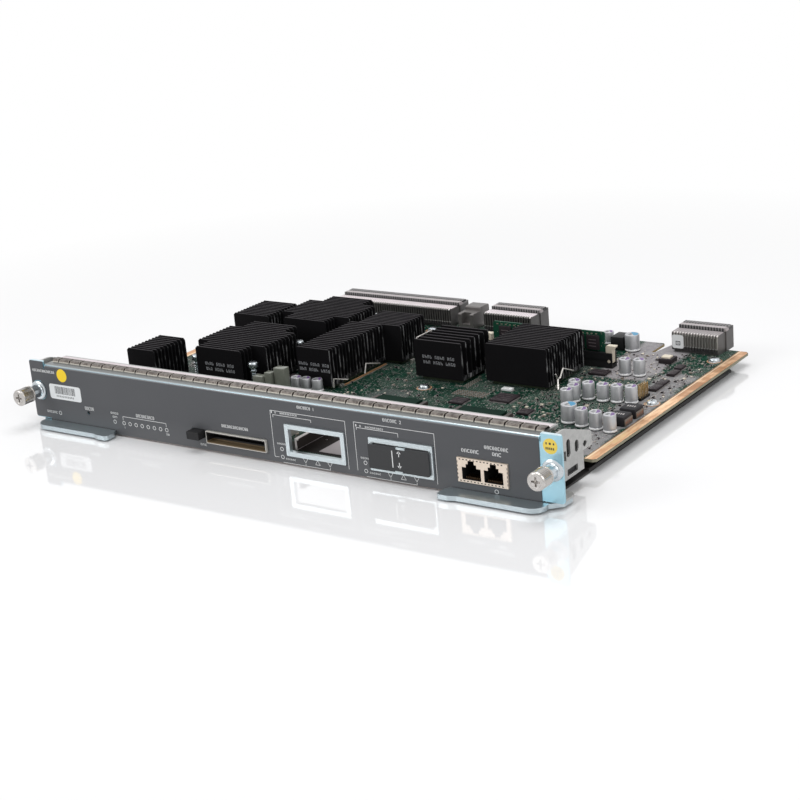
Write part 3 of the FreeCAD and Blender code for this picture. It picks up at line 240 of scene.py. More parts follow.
def panel_zones(recipe, tone, x, y, z):
    """Ears pale blue, the panel's folded top greyer behind a painted highlight along the bend, flanges
    greyish, and a painted highlight along the top edge.
    """
    panel = x.between(-PANEL_SIDE, PANEL_SIDE)
    fold = panel * z.above(PANEL_FOLD)
    flanges, fold_back, foot = y.above(1.3), fold * y.above(6.0), panel * z.below(0.8) * y.below(1.4)
    return recipe.over(
        tone, (flanges, (0.35, 0.365, 0.35)),
        (fold, (0.19, 0.20, 0.20)),
        (fold_back, (0.40, 0.41, 0.40)),
        (panel * z.above(FILM_TOP) * y.below(FILM_BACK), (0.20, 0.205, 0.215)),
        # Painted highlight along the bend of the fold.
        (fold * y.between(FILM_BACK, BEND_BACK), (0.42, 0.47, 0.49)),
        (foot, (0.34, 0.29, 0.27)),
        # Painted highlight along the top edge of the panel and the ears.
        (z.above(EAR_TOP) * y.below(2.0), (0.66, 0.80, 0.86)))


FINGER_PITCH = 9.5
STRIP_BAND = 4.7


def strip_zones(recipe, tone, x, y, z):
    """Brown-grey spring fingers in patchy tone, with painted shade in the slits and painted highlights
    along the cut edges; rear band pinkish.
    """
    low, high = span("emi_finger_strip")
    first = -FINGER_PITCH * (int((high[0] - low[0]) / FINGER_PITCH) - 1) / 2
    from_slit = x.from_line(first, FINGER_PITCH)
    # Patchy darker and lighter tone over the fingers.
    patchy_tone = recipe.noise(330.0, 4.0, (1, 0.6, 1), 0.65).ramp(0.38, 0.62)
    band = recipe.mix(recipe.noise(120.0, 2.0, (0.4, 1, 1)), (0.56, 0.49, 0.51), (0.76, 0.70, 0.72))
    return recipe.over(
        recipe.mix(patchy_tone, (0.055, 0.044, 0.038), (0.185, 0.163, 0.148)),
        # Painted highlights along the slits' cut edges.
        (from_slit.between(0.8, 1.1), (0.28, 0.255, 0.225)),
        # Painted shade in the slits.
        (from_slit.below(0.8) * y.above(low[1] + 0.7), (0.10, 0.080, 0.070)),
        # Painted highlight along the front cut edge.
        (y.below(low[1] + 0.35), (0.34, 0.32, 0.28)),
        (y.above(high[1] - STRIP_BAND), band))


def rail_zones(recipe, tone, x, y, z):
    """Sheet painted dark as the bay's shade, with painted highlights along its sheared edges."""
    # Painted highlights along the sheared front and top edges.
    edge = y.below(4.2).larger(z.above(15.2) * y.below(50.0))
    return recipe.over(tone, (edge, (0.88, 0.82, 0.80)), (z.between(8.2, 8.6), (0.40, 0.36, 0.37)))


def tray_zones(recipe, tone, x, y, z):
    """Sheet in the board's shade, darkest towards its sides."""
    return recipe.mix(x.maths("ABSOLUTE", x).above(150.0), tone, (0.022, 0.020, 0.020))


def header_zones(recipe, tone, x, y, z):
    """Pins over their black carrier."""
    return recipe.mix(z.below(9.7), tone, (0.012, 0.012, 0.012))


def lens_zones(recipe, tone, x, y, z):
    """Only the leftmost light has a pale lens."""
    return recipe.mix(x.below(-165.0), tone, (0.72, 0.74, 0.74))


def chip_zones(recipe, tone, x, y, z):
    """Carrier of each large chip, green-brown under its dark lid."""
    return recipe.mix(z.below(9.2), tone, (0.055, 0.075, 0.045))


# The backplane combs: their front, the planes where the top changes going back, and the wafers' pitch.
COMB_FRONT = 246.5
COMB_LIP = 256.3
COMB_BAR = 258.4
COMB_TEETH = 263.0
COMB_BACK = 268.6
COMB_TOP = 21.4
WAFER_PITCH = 2.0


def connector_finish(name, top_tone, rib_tone):
    """Comb of metal wafers with painted shade between them, bright contact tips, a dotted top and toothed
    grooves darkened with painted shade.
    """
    recipe = Recipe(name)
    x, y, z = recipe.axes()
    ridge = x.from_line(0.0, WAFER_PITCH)
    cloud = recipe.noise(220.0, 4.0)
    side = y.above(COMB_FRONT + 0.5)
    top = z.above(COMB_TOP)
    tip_back = COMB_FRONT + 1.6
    teeth = ridge.above(0.5)
    grooves = y.between(COMB_LIP, COMB_BAR).larger(y.between(COMB_TEETH, COMB_BACK))
    dots = recipe.cells(WAFER_PITCH, (1.0, 1.0, 0.001), 0.0).below(0.20)
    pale = recipe.mix(cloud, tint(top_tone, 0.82), tint(top_tone, 1.18))
    tone = recipe.over(
        # Painted shade in the valleys between the wafers.
        recipe.mix(ridge.ramp(0.25, 0.75), tint(rib_tone, 0.25), rib_tone),
        (cloud.ramp(0.35, 0.7) * 0.5, tint(rib_tone, 0.45)),
        (z.below(12.5), (0.050, 0.048, 0.050)),
        (z.between(12.3, 12.9), (0.34, 0.33, 0.32)),
        (side, recipe.mix(cloud, (0.060, 0.057, 0.056), (0.105, 0.10, 0.098))),
        (top * y.between(tip_back, COMB_LIP), recipe.mix(dots, pale, tint(top_tone, 0.5))),
        (z.above(20.9) * y.below(tip_back), recipe.mix(teeth, (0.06, 0.055, 0.055), (0.86, 0.82, 0.80))),
        # Painted shade in the groove behind the lip.
        (z.above(21.0) * y.between(COMB_LIP - 0.3, COMB_BAR), (0.016, 0.015, 0.016)),
        # Painted shade in the toothed grooves.
        (top * grooves, recipe.mix(teeth, (0.018, 0.018, 0.020), (0.22, 0.21, 0.21))),
        (top * y.between(COMB_BAR, COMB_TEETH), (0.40, 0.365, 0.37)))
    recipe.bump(ridge.ramp(0.3, 0.7), 0.35, 0.0003)
    return recipe.paint(base_color=tone, roughness=0.42 + cloud * 0.1, metallic=(1.0 - side) * 0.6)


def heatsink_finish(name, node, streak):
    """Near-black anodising, with painted highlights along the fin tips and painted glints on their ends."""
    recipe = Recipe("anodised " + name, specular=0.025)
    x, _, z = recipe.axes()
    _, high = span(node)
    fine = recipe.noise(2400.0, 3.0, (1, 4, 1))
    tip_glint = recipe.noise(180.0, 3.0, (0.3, 1, 1))
    ends = x.above(high[0] - 0.3) * z.above(high[2] - 25.0)
    lit = recipe.noise(240.0, 3.0, (0.2, 2.4, 0.5)).ramp(0.50, 0.66)
    tone = recipe.over(
        recipe.mix(fine, (0.0065, 0.0062, 0.0070), (0.0125, 0.0120, 0.0130)),
        # Painted highlight along the fin tips.
        (z.above(high[2] - 0.3), recipe.mix(tip_glint, (0.022, 0.020, 0.023), (0.050, 0.046, 0.050))),
        # Painted glints on the fin ends.
        (ends, recipe.mix(lit * streak, (0.012, 0.012, 0.013), (0.42, 0.42, 0.43))))
    recipe.bump(fine, 0.08)
    return recipe.paint(base_color=tone, roughness=0.36 + fine * 0.1)


def film_finish():
    """Dark film with a fine screen texture and faint scuffs, paler towards its foot."""
    recipe = Recipe("panel film", specular=0.42)
    pores = recipe.noise(5200.0, 2.0)
    scuff = recipe.noise(260.0, 5.0, (1, 1, 14), 0.65)
    _, _, z = recipe.axes()
    tone = recipe.over(
        recipe.mix(recipe.noise(20.0, 2.0), (0.064, 0.067, 0.074), (0.080, 0.083, 0.090)),
        (1.0 - z.ramp(2.0, 16.0), (0.100, 0.104, 0.111)),
        (scuff.ramp(0.66, 0.80) * 0.35, (0.15, 0.155, 0.16)))
    recipe.bump(pores, 0.18)
    return recipe.paint(base_color=tone, roughness=0.40 + scuff * 0.12)


BOARD_TOP = 8.0
# Rectangles where the solder mask is missing, as left, right, front, back and how much of it.
BARE_FIELDS = ((110.0, 150.0, 184.0, 262.0, 1.0), (152.0, 177.0, 58.0, 206.0, 0.75),
               (-4.0, 22.0, 88.0, 120.0, 0.25))
# A notch in the board's rear edge, as left, right and front.
NOTCH = 122.0, 133.0, 238.0


def board_finish():
    """Dark solder mask over tracks, rows of tinned holes and pads, and bare laminate edges."""
    recipe = Recipe("solder mask", specular=0.07)
    x, y, z = recipe.axes()
    wander = recipe.noise(60.0, 2.0) * 14.0 - 7.0

    def field(x0, x1, y0, y1, share, soft=3.0):
        """The share inside a rough-edged rectangle of the board, 0 outside it."""
        across = (x + wander).ramp(x0, x0 + soft) - (x + wander).ramp(x1 - soft, x1)
        along = (y - wander).ramp(y0, y0 + soft) - (y - wander).ramp(y1 - soft, y1)
        return across * along * share

    def spots(pitch, stretch, size, scatter=1.0):
        """Marks scattered over the board, drawn through its whole thickness."""
        return recipe.cells(pitch, (*stretch, 0.001), scatter).below(size)

    tracks = recipe.noise(520.0, 1.0, (0.22, 2.4, 1.0)).ramp(0.50, 0.53)
    cross = recipe.noise(520.0, 1.0, (2.4, 0.22, 1.0)).ramp(0.50, 0.53)
    zone = recipe.noise(30.0, 1.0).ramp(0.47, 0.50)
    under = tracks * zone + cross * (1.0 - zone)
    first, *others = [field(*bare) for bare in BARE_FIELDS]
    for other in others:
        first = first.larger(other)
    busy = recipe.noise(38.0, 1.0)
    worded = recipe.noise(24.0, 1.0)
    legend = spots(2.9, (0.8, 4.6), 0.12) * worded.above(0.47)
    upright = spots(3.1, (4.6, 0.8), 0.12) * worded.below(0.53)
    # Painted shade on the board under the bays.
    painted_bay_shade = x.between(4.0, 54.0) * y.between(4.4, 40.0) * z.below(BOARD_TOP + 0.05)
    mask = recipe.over(
        recipe.mix(under, (0.0020, 0.016, 0.0095), (0.0075, 0.050, 0.030)),
        (first, recipe.mix(recipe.noise(420.0, 4.0), (0.19, 0.18, 0.19), (0.38, 0.36, 0.375))),
        (recipe.noise(16.0, 1.0).ramp(0.60, 0.64) * 0.5, (0.045, 0.060, 0.054)),
        (spots(1.27, (1, 1), 0.17, 0.0) * busy.ramp(0.50, 0.53), (0.34, 0.35, 0.32)),
        (spots(2.2, (1, 1), 0.08, 0.5), (0.34, 0.34, 0.33)),
        (spots(3.4, (1.0, 2.6), 0.15) * busy.below(0.54), (0.40, 0.36, 0.35)),
        (spots(3.8, (2.6, 1.0), 0.15) * busy.above(0.44), (0.40, 0.36, 0.34)),
        (legend.larger(upright), (0.42, 0.50, 0.45)),
        # Painted shade: the board darker towards its left.
        ((1.0 - x.ramp(30.0, 110.0)) * 0.35, (0.002, 0.012, 0.008)),
        (painted_bay_shade, (0.014, 0.011, 0.010)))
    laminate = recipe.mix(recipe.noise(700.0, 2.0, (1, 1, 9)), (0.19, 0.185, 0.13), (0.36, 0.335, 0.25))
    laminate = recipe.mix(x.between(*NOTCH[:2]) * y.above(NOTCH[2]), laminate, (0.52, 0.40, 0.21))
    face = z.above(BOARD_TOP - 0.03).larger(z.below(6.45))
    recipe.bump(under, 0.25, 0.00005)
    return recipe.paint(base_color=recipe.mix(face, laminate, mask),
                        roughness=0.42 + recipe.noise(300.0) * 0.12)


def module_finish():
    """Memory card: green mask with small pads between its chips."""
    recipe = Recipe("memory card", specular=0.2)
    tone = recipe.mix(recipe.noise(300.0, 2.0), (0.004, 0.040, 0.022), (0.012, 0.085, 0.048))
    pads = recipe.cells(2.2, (1.0, 0.001, 1.6)).below(0.13)
    return recipe.paint(base_color=recipe.mix(pads, tone, (0.30, 0.27, 0.24)), roughness=0.42)


def foil_finish():
    """Bare copper land along the board's edges, stained in bands and streaks."""
    recipe = Recipe("edge land", metallic=0.8)
    x, y, _ = recipe.axes()
    bands = recipe.noise(30.0, 3.0, (0.1, 1, 1), 0.6)
    streaks = recipe.noise(150.0, 4.0, (2.4, 0.35, 1), 0.6)
    side = x.maths("ABSOLUTE", x)
    tone = recipe.over(
        recipe.mix(streaks.ramp(0.40, 0.62), (0.66, 0.36, 0.18), (0.95, 0.66, 0.42)),
        (bands.ramp(0.50, 0.58) * 0.8, (0.40, 0.185, 0.080)),
        (streaks.ramp(0.50, 0.60) * (1.0 - y.ramp(70.0, 130.0)), (0.72, 0.52, 0.24)),
        (side.between(177.7, 178.4), (0.90, 0.74, 0.54)),
        (side.below(177.2), (0.20, 0.12, 0.07)))
    return recipe.paint(base_color=tone, roughness=0.30 + streaks * 0.25)


def jack_finish(name, shell, ports, floor_tone, floor_top, rim_metal=0.3):
    """Metal shell with openings painted dark as shade; a port is x, z ranges, the depth where it starts, a
    floor.
    """
    recipe = Recipe(name)
    x, y, z = recipe.axes()
    fine = recipe.noise(1500.0, 3.0)
    inside = None
    for low, high, bottom, top, front in ports:
        hit = x.between(low, high) * z.between(bottom, top) * y.above(front)
        inside = hit if inside is None else inside.larger(hit)
    # Painted shade inside the openings; floor_tone lies at the front below floor_top.
    inside_shade = recipe.mix(z.below(floor_top) * y.below(4.8), (0.012, 0.011, 0.011), floor_tone)
    tone = recipe.over(recipe.mix(fine, tint(shell, 0.92), tint(shell, 1.08)), (inside, inside_shade))
    recipe.bump(fine, 0.08)
    return recipe.paint(base_color=tone, roughness=0.42 + inside * 0.1,
                        metallic=rim_metal - inside * rim_metal)


def can_finish():
    """Drawn aluminium with fine upright lines."""
    recipe = Recipe("drawn can", metallic=0.85)
    lines = recipe.noise(2600.0, 3.0, (1, 1, 0.05))
    cloud = recipe.noise(500.0, 3.0)
    tone = recipe.mix(lines * 0.4 + cloud * 0.6, (0.40, 0.405, 0.42), (0.60, 0.605, 0.62))
    recipe.bump(lines, 0.2)
    return recipe.paint(base_color=tone, roughness=0.46 + cloud * 0.1)


def spangle_finish(name, colour):
    """Galvanised sheet with its crystal pattern."""
    recipe = Recipe(name, metallic=0.7)
    crystals = recipe.node("ShaderNodeTexVoronoi", {"feature": "F1"},
                           {"Vector": recipe.where, "Scale": 420.0}, 1)
    split = recipe.node("ShaderNodeSeparateXYZ", None, {0: crystals})
    fine = recipe.noise(900.0, 4.0)
    tone = recipe.mix(split * 0.6 + fine * 0.4, tint(colour, 0.84), tint(colour, 1.16))
    recipe.bump(fine, 0.1)
    return recipe.paint(base_color=tone, roughness=0.40 + split * 0.12)


zinc = finish("blue zinc", (0.36, 0.585, 0.68), 0.30, 0.8, 0.05, 1400.0, (1, 1, 6), 0.10, 0.08,
              zones=panel_zones)
lever_zinc = finish("lever zinc", (0.50, 0.57, 0.60), 0.31, 0.95, 0.05, 1400.0, (1, 1, 6), 0.08, 0.05)
galvanised = spangle_finish("galvanised sheet", (0.44, 0.44, 0.43))
tray_sheet = finish("tray sheet", (0.30, 0.30, 0.30), 0.45, 0.4, 0.15, 700.0, zones=tray_zones)
# The rail's dark base colour is painted shade of the bay.
rail_sheet = finish("bay rail", (0.050, 0.040, 0.036), 0.45, 0.3, 0.2, zones=rail_zones)
strip_steel = finish("spring strip", (0.70, 0.665, 0.575), 0.42, 0.45, 0.08, 1200.0, (1, 8, 1),
                     specular=0.3, zones=strip_zones)
nickel = finish("nickel", (0.50, 0.48, 0.46), 0.24, 0.95, 0.10, 1500.0, (1, 6, 1), 0.10, 0.08)
bright_nickel = finish("bright nickel", (0.56, 0.60, 0.63), 0.24, 0.98, 0.06, 1500.0)
wire_nickel = finish("clip wire", (0.66, 0.63, 0.60), 0.28, 0.85, 0.06, 1500.0)
bezel_metal = finish("bezel", (0.49, 0.545, 0.565), 0.30, 0.8, 0.05, 1500.0, (6, 1, 1), 0.08, 0.05)
black_plastic = finish("black moulding", (0.012, 0.012, 0.013), 0.48, 0.0, 0.2, 2500.0, dent=0.25,
                       specular=0.25)
dark_green = finish("dark green moulding", (0.0045, 0.018, 0.012), 0.55, 0.0, 0.3, 1500.0,
                    specular=0.03)
cover_black = finish("cover moulding", (0.040, 0.041, 0.043), 0.50, 0.0, 0.08, 2600.0, dent=0.3,
                     specular=0.3)
block_metal = finish("guide block", (0.17, 0.16, 0.155), 0.38, 0.6, 0.15, 900.0)
cream = finish("cream moulding", (0.70, 0.63, 0.51), 0.48, 0.0, 0.08, 1800.0)
package = finish("chip moulding", (0.030, 0.024, 0.027), 0.44, 0.0, 0.2, 3200.0, dent=0.3, specular=0.12)
package_base = finish("chip carrier", (0.030, 0.026, 0.027), 0.44, 0.0, 0.2, 3200.0, specular=0.1,
                      zones=chip_zones)
package_mark = finish("chip print", (0.15, 0.13, 0.135), 0.5, 0.0, 0.2, 3000.0, specular=0.1)
ferrite = finish("ferrite", (0.018, 0.017, 0.020), 0.55, 0.0, 0.35, 2600.0, dent=0.6, specular=0.2)
coil_plate = finish("coil end plate", (0.17, 0.145, 0.125), 0.40, 0.5, 0.25, 900.0)
coil_red = finish("enamelled copper", (0.26, 0.055, 0.035), 0.35, 0.4, 0.3, 1800.0)
gold = finish("gold flash", (0.80, 0.56, 0.24), 0.28, 0.95, 0.1, 1200.0, zones=header_zones)
# Gold contacts darkened as painted shade inside the ports.
contact_gold = finish("contact wire", (0.055, 0.030, 0.014), 0.35, 0.8, 0.15, 1200.0)
tin = finish("tinned ends", (0.56, 0.53, 0.52), 0.34, 0.8, 0.15, 3000.0)
tan_chip = finish("ceramic chip", (0.20, 0.165, 0.135), 0.45, 0.0, 0.2, 3000.0, specular=0.3)
print_white = finish("white print", (0.78, 0.79, 0.79), 0.55, 0.0, 0.05, 4000.0)
sink_print = finish("grey print", (0.40, 0.41, 0.43), 0.6, 0.0, 0.3, 2500.0, specular=0.1)
paper = finish("label paper", (0.78, 0.80, 0.81), 0.50, 0.0, 0.04, 2600.0, dent=0.15)
ink_and_shade = finish("label ink", (0.035, 0.035, 0.04), 0.55, 0.0, 0.15, 4000.0)
yellow = finish("yellow sticker", (0.95, 0.66, 0.015), 0.42, 0.0, 0.04, 2600.0, dent=0.1)
light_yellow = finish("pale yellow sticker", (0.88, 0.66, 0.10), 0.42, 0.0, 0.05, 2600.0, dent=0.1)
violet = finish("violet band", (0.15, 0.07, 0.24), 0.35, 0.2, 0.15, 2600.0)
blue = finish("blue band", (0.03, 0.26, 0.46), 0.35, 0.2, 0.1, 2600.0)
# White on the cans' foot flare: painted reflection.
flare_reflection = finish("white base", (0.78, 0.78, 0.78), 0.45, 0.0, 0.05, 2600.0)
lens = finish("light pipe", (0.030, 0.033, 0.033), 0.25, 0.0, 0.06, 2600.0, coat=0.3, zones=lens_zones)
clear_block = finish("clear moulding", (0.17, 0.18, 0.15), 0.25, 0.0, 0.45, 260.0, coat=0.4)
copper_bar = finish("copper bar", (0.42, 0.24, 0.12), 0.45, 0.5, 0.2, 900.0)
resist_ring = finish("resist ring", (0.42, 0.24, 0.14), 0.45, 0.2, 0.2, 2600.0)
film = film_finish()
board_green = board_finish()
memory_green = module_finish()
edge_land = foil_finish()
can_metal = can_finish()


# ---------------------------------------------------------------- CAD nodes
SAME_POINT = 1e-6
SHARP_ANGLE = 40


def dress(material, *names, edge=0.0):
    """Gives CAD nodes their finish; edge rounds their corners, in millimetres."""
    for name in names:
        node = frame["nodes"][name]
        if not node.material_slots:
            node.data.materials.append(material)
        for place in node.material_slots:
            place.material = material
        if edge:
            weld = node.modifiers.new("Weld", "WELD")
            weld.merge_threshold = SAME_POINT
            soft = node.modifiers.new("Bevel", "BEVEL")
            soft.width = edge * MM
            soft.segments = 2
            soft.limit_method = "ANGLE"
            soft.angle_limit = math.radians(SHARP_ANGLE)
            soft.use_clamp_overlap = True


def solids_of(name):
    """Boxes of the separate solids of a CAD node, in millimetres."""
    work = bmesh.new()
    work.from_mesh(frame["nodes"][name].data)
    bmesh.ops.remove_doubles(work, verts=work.verts, dist=SAME_POINT)
    boxes = []
    seen = set()
    for start in work.verts:
        if start in seen:
            continue
        seen.add(start)
        heap = [start]
        cloud = []
        while heap:
            here = heap.pop()
            cloud.append(here.co * TO_MM)
            for edge in here.link_edges:
                far = edge.other_vert(here)
                if far not in seen:
                    seen.add(far)
                    heap.append(far)
        boxes.append(([min(p[i] for p in cloud) for i in range(3)],
                      [max(p[i] for p in cloud) for i in range(3)]))
    work.free()
    return boxes


def middle_of(box, axis):
    """Middle of a box along one axis."""
    return (box[0][axis] + box[1][axis]) / 2


def centre_of(box, first=0, second=1):
    """Middle of a box along two axes."""
    return middle_of(box, first), middle_of(box, second)


# ---------------------------------------------------------------- mesh work
class Work:
    """A mesh being made, in millimetres, out of closed forms."""

    def __init__(self):
        self.mesh = bmesh.new()

    def join(self, form, slot):
        """Adds a form made in a bmesh of its own."""
        bmesh.ops.recalc_face_normals(form, faces=form.faces)
        for face in form.faces:
            face.material_index = slot
        held = bpy.data.meshes.new("held")
        form.to_mesh(held)
        form.free()
        self.mesh.from_mesh(held)
        bpy.data.meshes.remove(held)

    def block(self, x, y, z, bevel=0.0, slot=0, turn=0.0, steps=2):
        """Box between pairs x, y and z; turn is about Z, in degrees."""
        form = bmesh.new()
        bmesh.ops.create_cube(form, size=1.0)
        bmesh.ops.scale(form, vec=(x[1] - x[0], y[1] - y[0], z[1] - z[0]), verts=form.verts)
        if bevel:
            bmesh.ops.bevel(form, geom=form.edges[:], offset=bevel, offset_type="OFFSET",
                            segments=steps, profile=0.5, affect="EDGES", clamp_overlap=True,
                            material=-1)
        if turn:
            bmesh.ops.rotate(form, verts=form.verts, matrix=Matrix.Rotation(math.radians(turn), 3, "Z"))
        middle = ((x[0] + x[1]) / 2, (y[0] + y[1]) / 2, (z[0] + z[1]) / 2)
        bmesh.ops.translate(form, vec=middle, verts=form.verts)
        self.join(form, slot)

    def slab(self, corners, axis, low, high, bevel=0.0, slot=0):
        """Flat outline drawn across an axis and pulled from low to high along it."""
        form = bmesh.new()
        first, second = ((1, 2), (0, 2), (0, 1))[axis]
        spots = []
        for u, v in corners:
            point = [0.0, 0.0, 0.0]
            point[axis], point[first], point[second] = low, u, v
            spots.append(form.verts.new(point))
        face = form.faces.new(spots)
        grown = bmesh.ops.extrude_face_region(form, geom=[face])
        far = [g for g in grown["geom"] if isinstance(g, bmesh.types.BMVert)]
        step = Vector((0, 0, 0))
        step[axis] = high - low
        bmesh.ops.translate(form, vec=step, verts=far)
        if bevel:
            bmesh.ops.bevel(form, geom=form.edges[:], offset=bevel, offset_type="OFFSET",
                            segments=2, profile=0.5, affect="EDGES", clamp_overlap=True, material=-1)
        self.join(form, slot)

    def turned(self, profile, centre, axis, steps=32, slot=0, ring=False):
        """Form turned about an axis; the profile is (radius, distance along the axis)."""
        form = bmesh.new()
        line = Vector((0, 0, 0))
        line[axis] = 1.0
        across = Vector((0, 0, 0))
        across[(axis + 1) % 3] = 1.0
        spots = [form.verts.new(across * r + line * h) for r, h in profile]
        edges = [form.edges.new(pair) for pair in zip(spots, spots[1:])]
        if ring:
            edges.append(form.edges.new((spots[-1], spots[0])))
        bmesh.ops.spin(form, geom=spots + edges, cent=(0, 0, 0), axis=line, angle=2 * math.pi,
                       steps=steps, use_merge=True, use_duplicate=False)
        bmesh.ops.remove_doubles(form, verts=form.verts, dist=1e-5)
        bmesh.ops.translate(form, vec=centre, verts=form.verts)
        self.join(form, slot)

    def disc(self, radius, low, high, centre, axis=2, steps=16, slot=0):
        """Flat-ended round bar from low to high along an axis."""
        self.turned([(0, low), (radius, low), (radius, high), (0, high)], centre, axis, steps, slot)

    def wire(self, points, radius, slot=0):
        """Round wire through points, its ends closed."""
        curve = bpy.data.curves.new("wire", "CURVE")
        curve.dimensions = "3D"
        curve.bevel_depth = radius
        curve.bevel_resolution = 2
        curve.use_fill_caps = True
        line = curve.splines.new("POLY")
        line.points.add(len(points) - 1)
        for spot, place in zip(line.points, points):
            spot.co = (*place, 1.0)
        holder = bpy.data.objects.new("wire", curve)
        mesh = bpy.data.meshes.new_from_object(holder)
        form = bmesh.new()
        form.from_mesh(mesh)
        bpy.data.objects.remove(holder)
        bpy.data.meshes.remove(mesh)
        bmesh.ops.remove_doubles(form, verts=form.verts, dist=1e-4)
        self.join(form, slot)

    def piece(self, name, body, slot_name, *finishes, smooth=35.0, replaces=()):
        """Makes the object, in metres, and sets it on its body."""
        bmesh.ops.scale(self.mesh, vec=(MM, MM, MM), verts=self.mesh.verts)
        mesh = bpy.data.meshes.new(name)
        self.mesh.to_mesh(mesh)
        self.mesh.free()
        for material in finishes:
            mesh.materials.append(material)
        for face in mesh.polygons:
            face.use_smooth = True
        mesh.set_sharp_from_angle(angle=math.radians(smooth))
        made = bpy.data.objects.new(name, mesh)
        bpy.context.scene.collection.objects.link(made)
        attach(made, body)
        if replaces:
            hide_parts(*replaces)
        return made


# ---------------------------------------------------------------- finishes on the CAD nodes
DRESSED = (
    # finish, rounding of the corners, nodes
    (zinc, 0.25, "faceplate"),
    (film, 0.0, "front_overlay"),
    (strip_steel, 0.0, "emi_finger_strip"),
    (galvanised, 0.2, "side_bracket_right", "side_bracket_left"),
    (tray_sheet, 0.0, "carrier_tray"),
    (rail_sheet, 0.0, "x2_rails_1", "x2_rails_2"),
    (nickel, 0.0, "tray_rivets", "board_standoffs", "lever_pivot_right", "lever_pivot_left",
     "screw_retainer_right", "screw_retainer_left", "screw_spring_right", "screw_spring_left"),
    (board_green, 0.0, "main_board"),
    (memory_green, 0.0, "memory_module"),
    (lever_zinc, 0.5, "ejector_lever_right", "ejector_lever_left"),
    (bezel_metal, 0.3, "x2_bezel_1", "x2_bezel_2"),
    (dark_green, 0.0, "x2_host_connectors"),
    (black_plastic, 0.15, "flash_eject_button", "flash_eject_guide", "reset_switch", "memory_socket"),
    (cover_black, 0.3, "x2_blank_cover"),
    (lens, 0.0, "status_leds"),
    (cream, 0.2, "memory_latch_right", "memory_latch_left"),
    (black_plastic, 0.2, "reset_plunger"),
    (package_base, 0.0, "chip_packages"),
    (block_metal, 0.0, "guide_block"),
    (gold, 0.0, "pin_header"),
)
for material, edge, *names in DRESSED:
    dress(material, *names, edge=edge)
COMBS = (
    # part, its top, its wafers
    ("long", (0.72, 0.65, 0.67), (0.11, 0.105, 0.10)),
    ("mid", (0.76, 0.69, 0.72), (0.11, 0.105, 0.10)),
    ("right", (0.33, 0.30, 0.305), (0.40, 0.39, 0.365)),
)
for part, top_tone, rib_tone in COMBS:
    dress(connector_finish("backplane comb " + part, top_tone, rib_tone), "backplane_connector_" + part)
# Heatsinks whose fin ends carry stronger painted glints than the others'.
BRIGHT_ENDS = ("right_back", "left_mid", "right_mid")
for name in frame["nodes"]:
    if name.startswith("heatsink_") and name not in ("heatsink_clips", "heatsink_posts"):
        place = name.replace("heatsink_", "")
        dress(heatsink_finish(place, name, 0.6 if place in BRIGHT_ENDS else 0.35), name)

TRAVEL = {joint["name"]: joint["range_m"][1] / MM for joint in frame["joints"] if joint["type"] == "slide"}
film_front = span("front_overlay")[0][1]
jack_box = span("rj45_jack")
PORT_STEP = 6.985
PORT_HALF = 6.02
PORT_FLOOR, PORT_ROOF, PORT_FRONT = 9.6, 20.8, -1.1
jack_ports = []
for side in (-1, 1):
    port = middle_of(jack_box, 0) + side * PORT_STEP
    jack_ports.append((port - PORT_HALF, port + PORT_HALF, PORT_FLOOR, PORT_ROOF, PORT_FRONT))
dress(jack_finish("jack shell", (0.80, 0.68, 0.57), jack_ports, (0.012, 0.011, 0.011), 0.0), "rj45_jack")
SLOT_RIM = 0.4
SLOT_FRONT, SLOT_FLOOR = -2.5, 7.4
flash_low, flash_high = span("flash_connector")
card_slot = (flash_low[0] + SLOT_RIM, flash_high[0] - SLOT_RIM,
             flash_low[2] + SLOT_RIM, flash_high[2] - SLOT_RIM, SLOT_FRONT)
dress(jack_finish("card socket", (0.60, 0.58, 0.54), [card_slot], (0.17, 0.12, 0.065), SLOT_FLOOR),
      "flash_connector")


# ---------------------------------------------------------------- print on the panel
# How far the printing stands off the panel, and the width of its fine lines.
PRINT = 0.04
FINE = 0.28
ink_y = (film_front - PRINT, film_front + 0.01)
marks = Work()


def stroke(x0, z0, x1, z1, width=FINE):
    """Printed line between two points of the panel."""
    length = math.hypot(x1 - x0, z1 - z0)
    nx, nz = -(z1 - z0) / length * width / 2, (x1 - x0) / length * width / 2
    marks.slab([(x0 + nx, z0 + nz), (x1 + nx, z1 + nz), (x1 - nx, z1 - nz), (x0 - nx, z0 - nz)],
               1, *ink_y)


def trail(*points):
    """Printed line through several points."""
    for (x0, z0), (x1, z1) in zip(points, points[1:]):
        stroke(x0, z0, x1, z1)


def loop(x, z, radius=1.30, width=0.34):
    """Printed ring round a light."""
    back, front = ink_y
    marks.turned([(radius - width, back), (radius, back), (radius, front), (radius - width, front)],
                 (x, 0, z), 1, 24, ring=True)


LETTER, LETTER_GAP = 1.0, 0.42


def dashes(x0, x1, z, height, letter=LETTER, gap=LETTER_GAP, thin=FINE * 1.15):
    """Row of small hollow bars where the panel carries a legend."""
    count = max(1, int((x1 - x0 + gap) / (letter + gap)))
    pitch = (x1 - x0 + gap) / count
    top = z + height
    for i in range(count):
        left = x0 + pitch * i
        right = left + pitch - gap
        marks.block((left, left + thin), ink_y, (z, top))
        if i % 3 != 2:
            marks.block((right - thin, right), ink_y, (z, top))
        marks.block((left, right), ink_y, (top - thin, top))
        if i % 3 != 1:
            marks.block((left, right), ink_y, (z, z + thin))


def triangle(x, z, point):
    """Hollow printed triangle; point is 1 upward and -1 downward."""
    half, high = 1.7, 1.35 * point
    trail((x - half, z - high), (x + half, z - high), (x, z + high), (x - half, z - high))


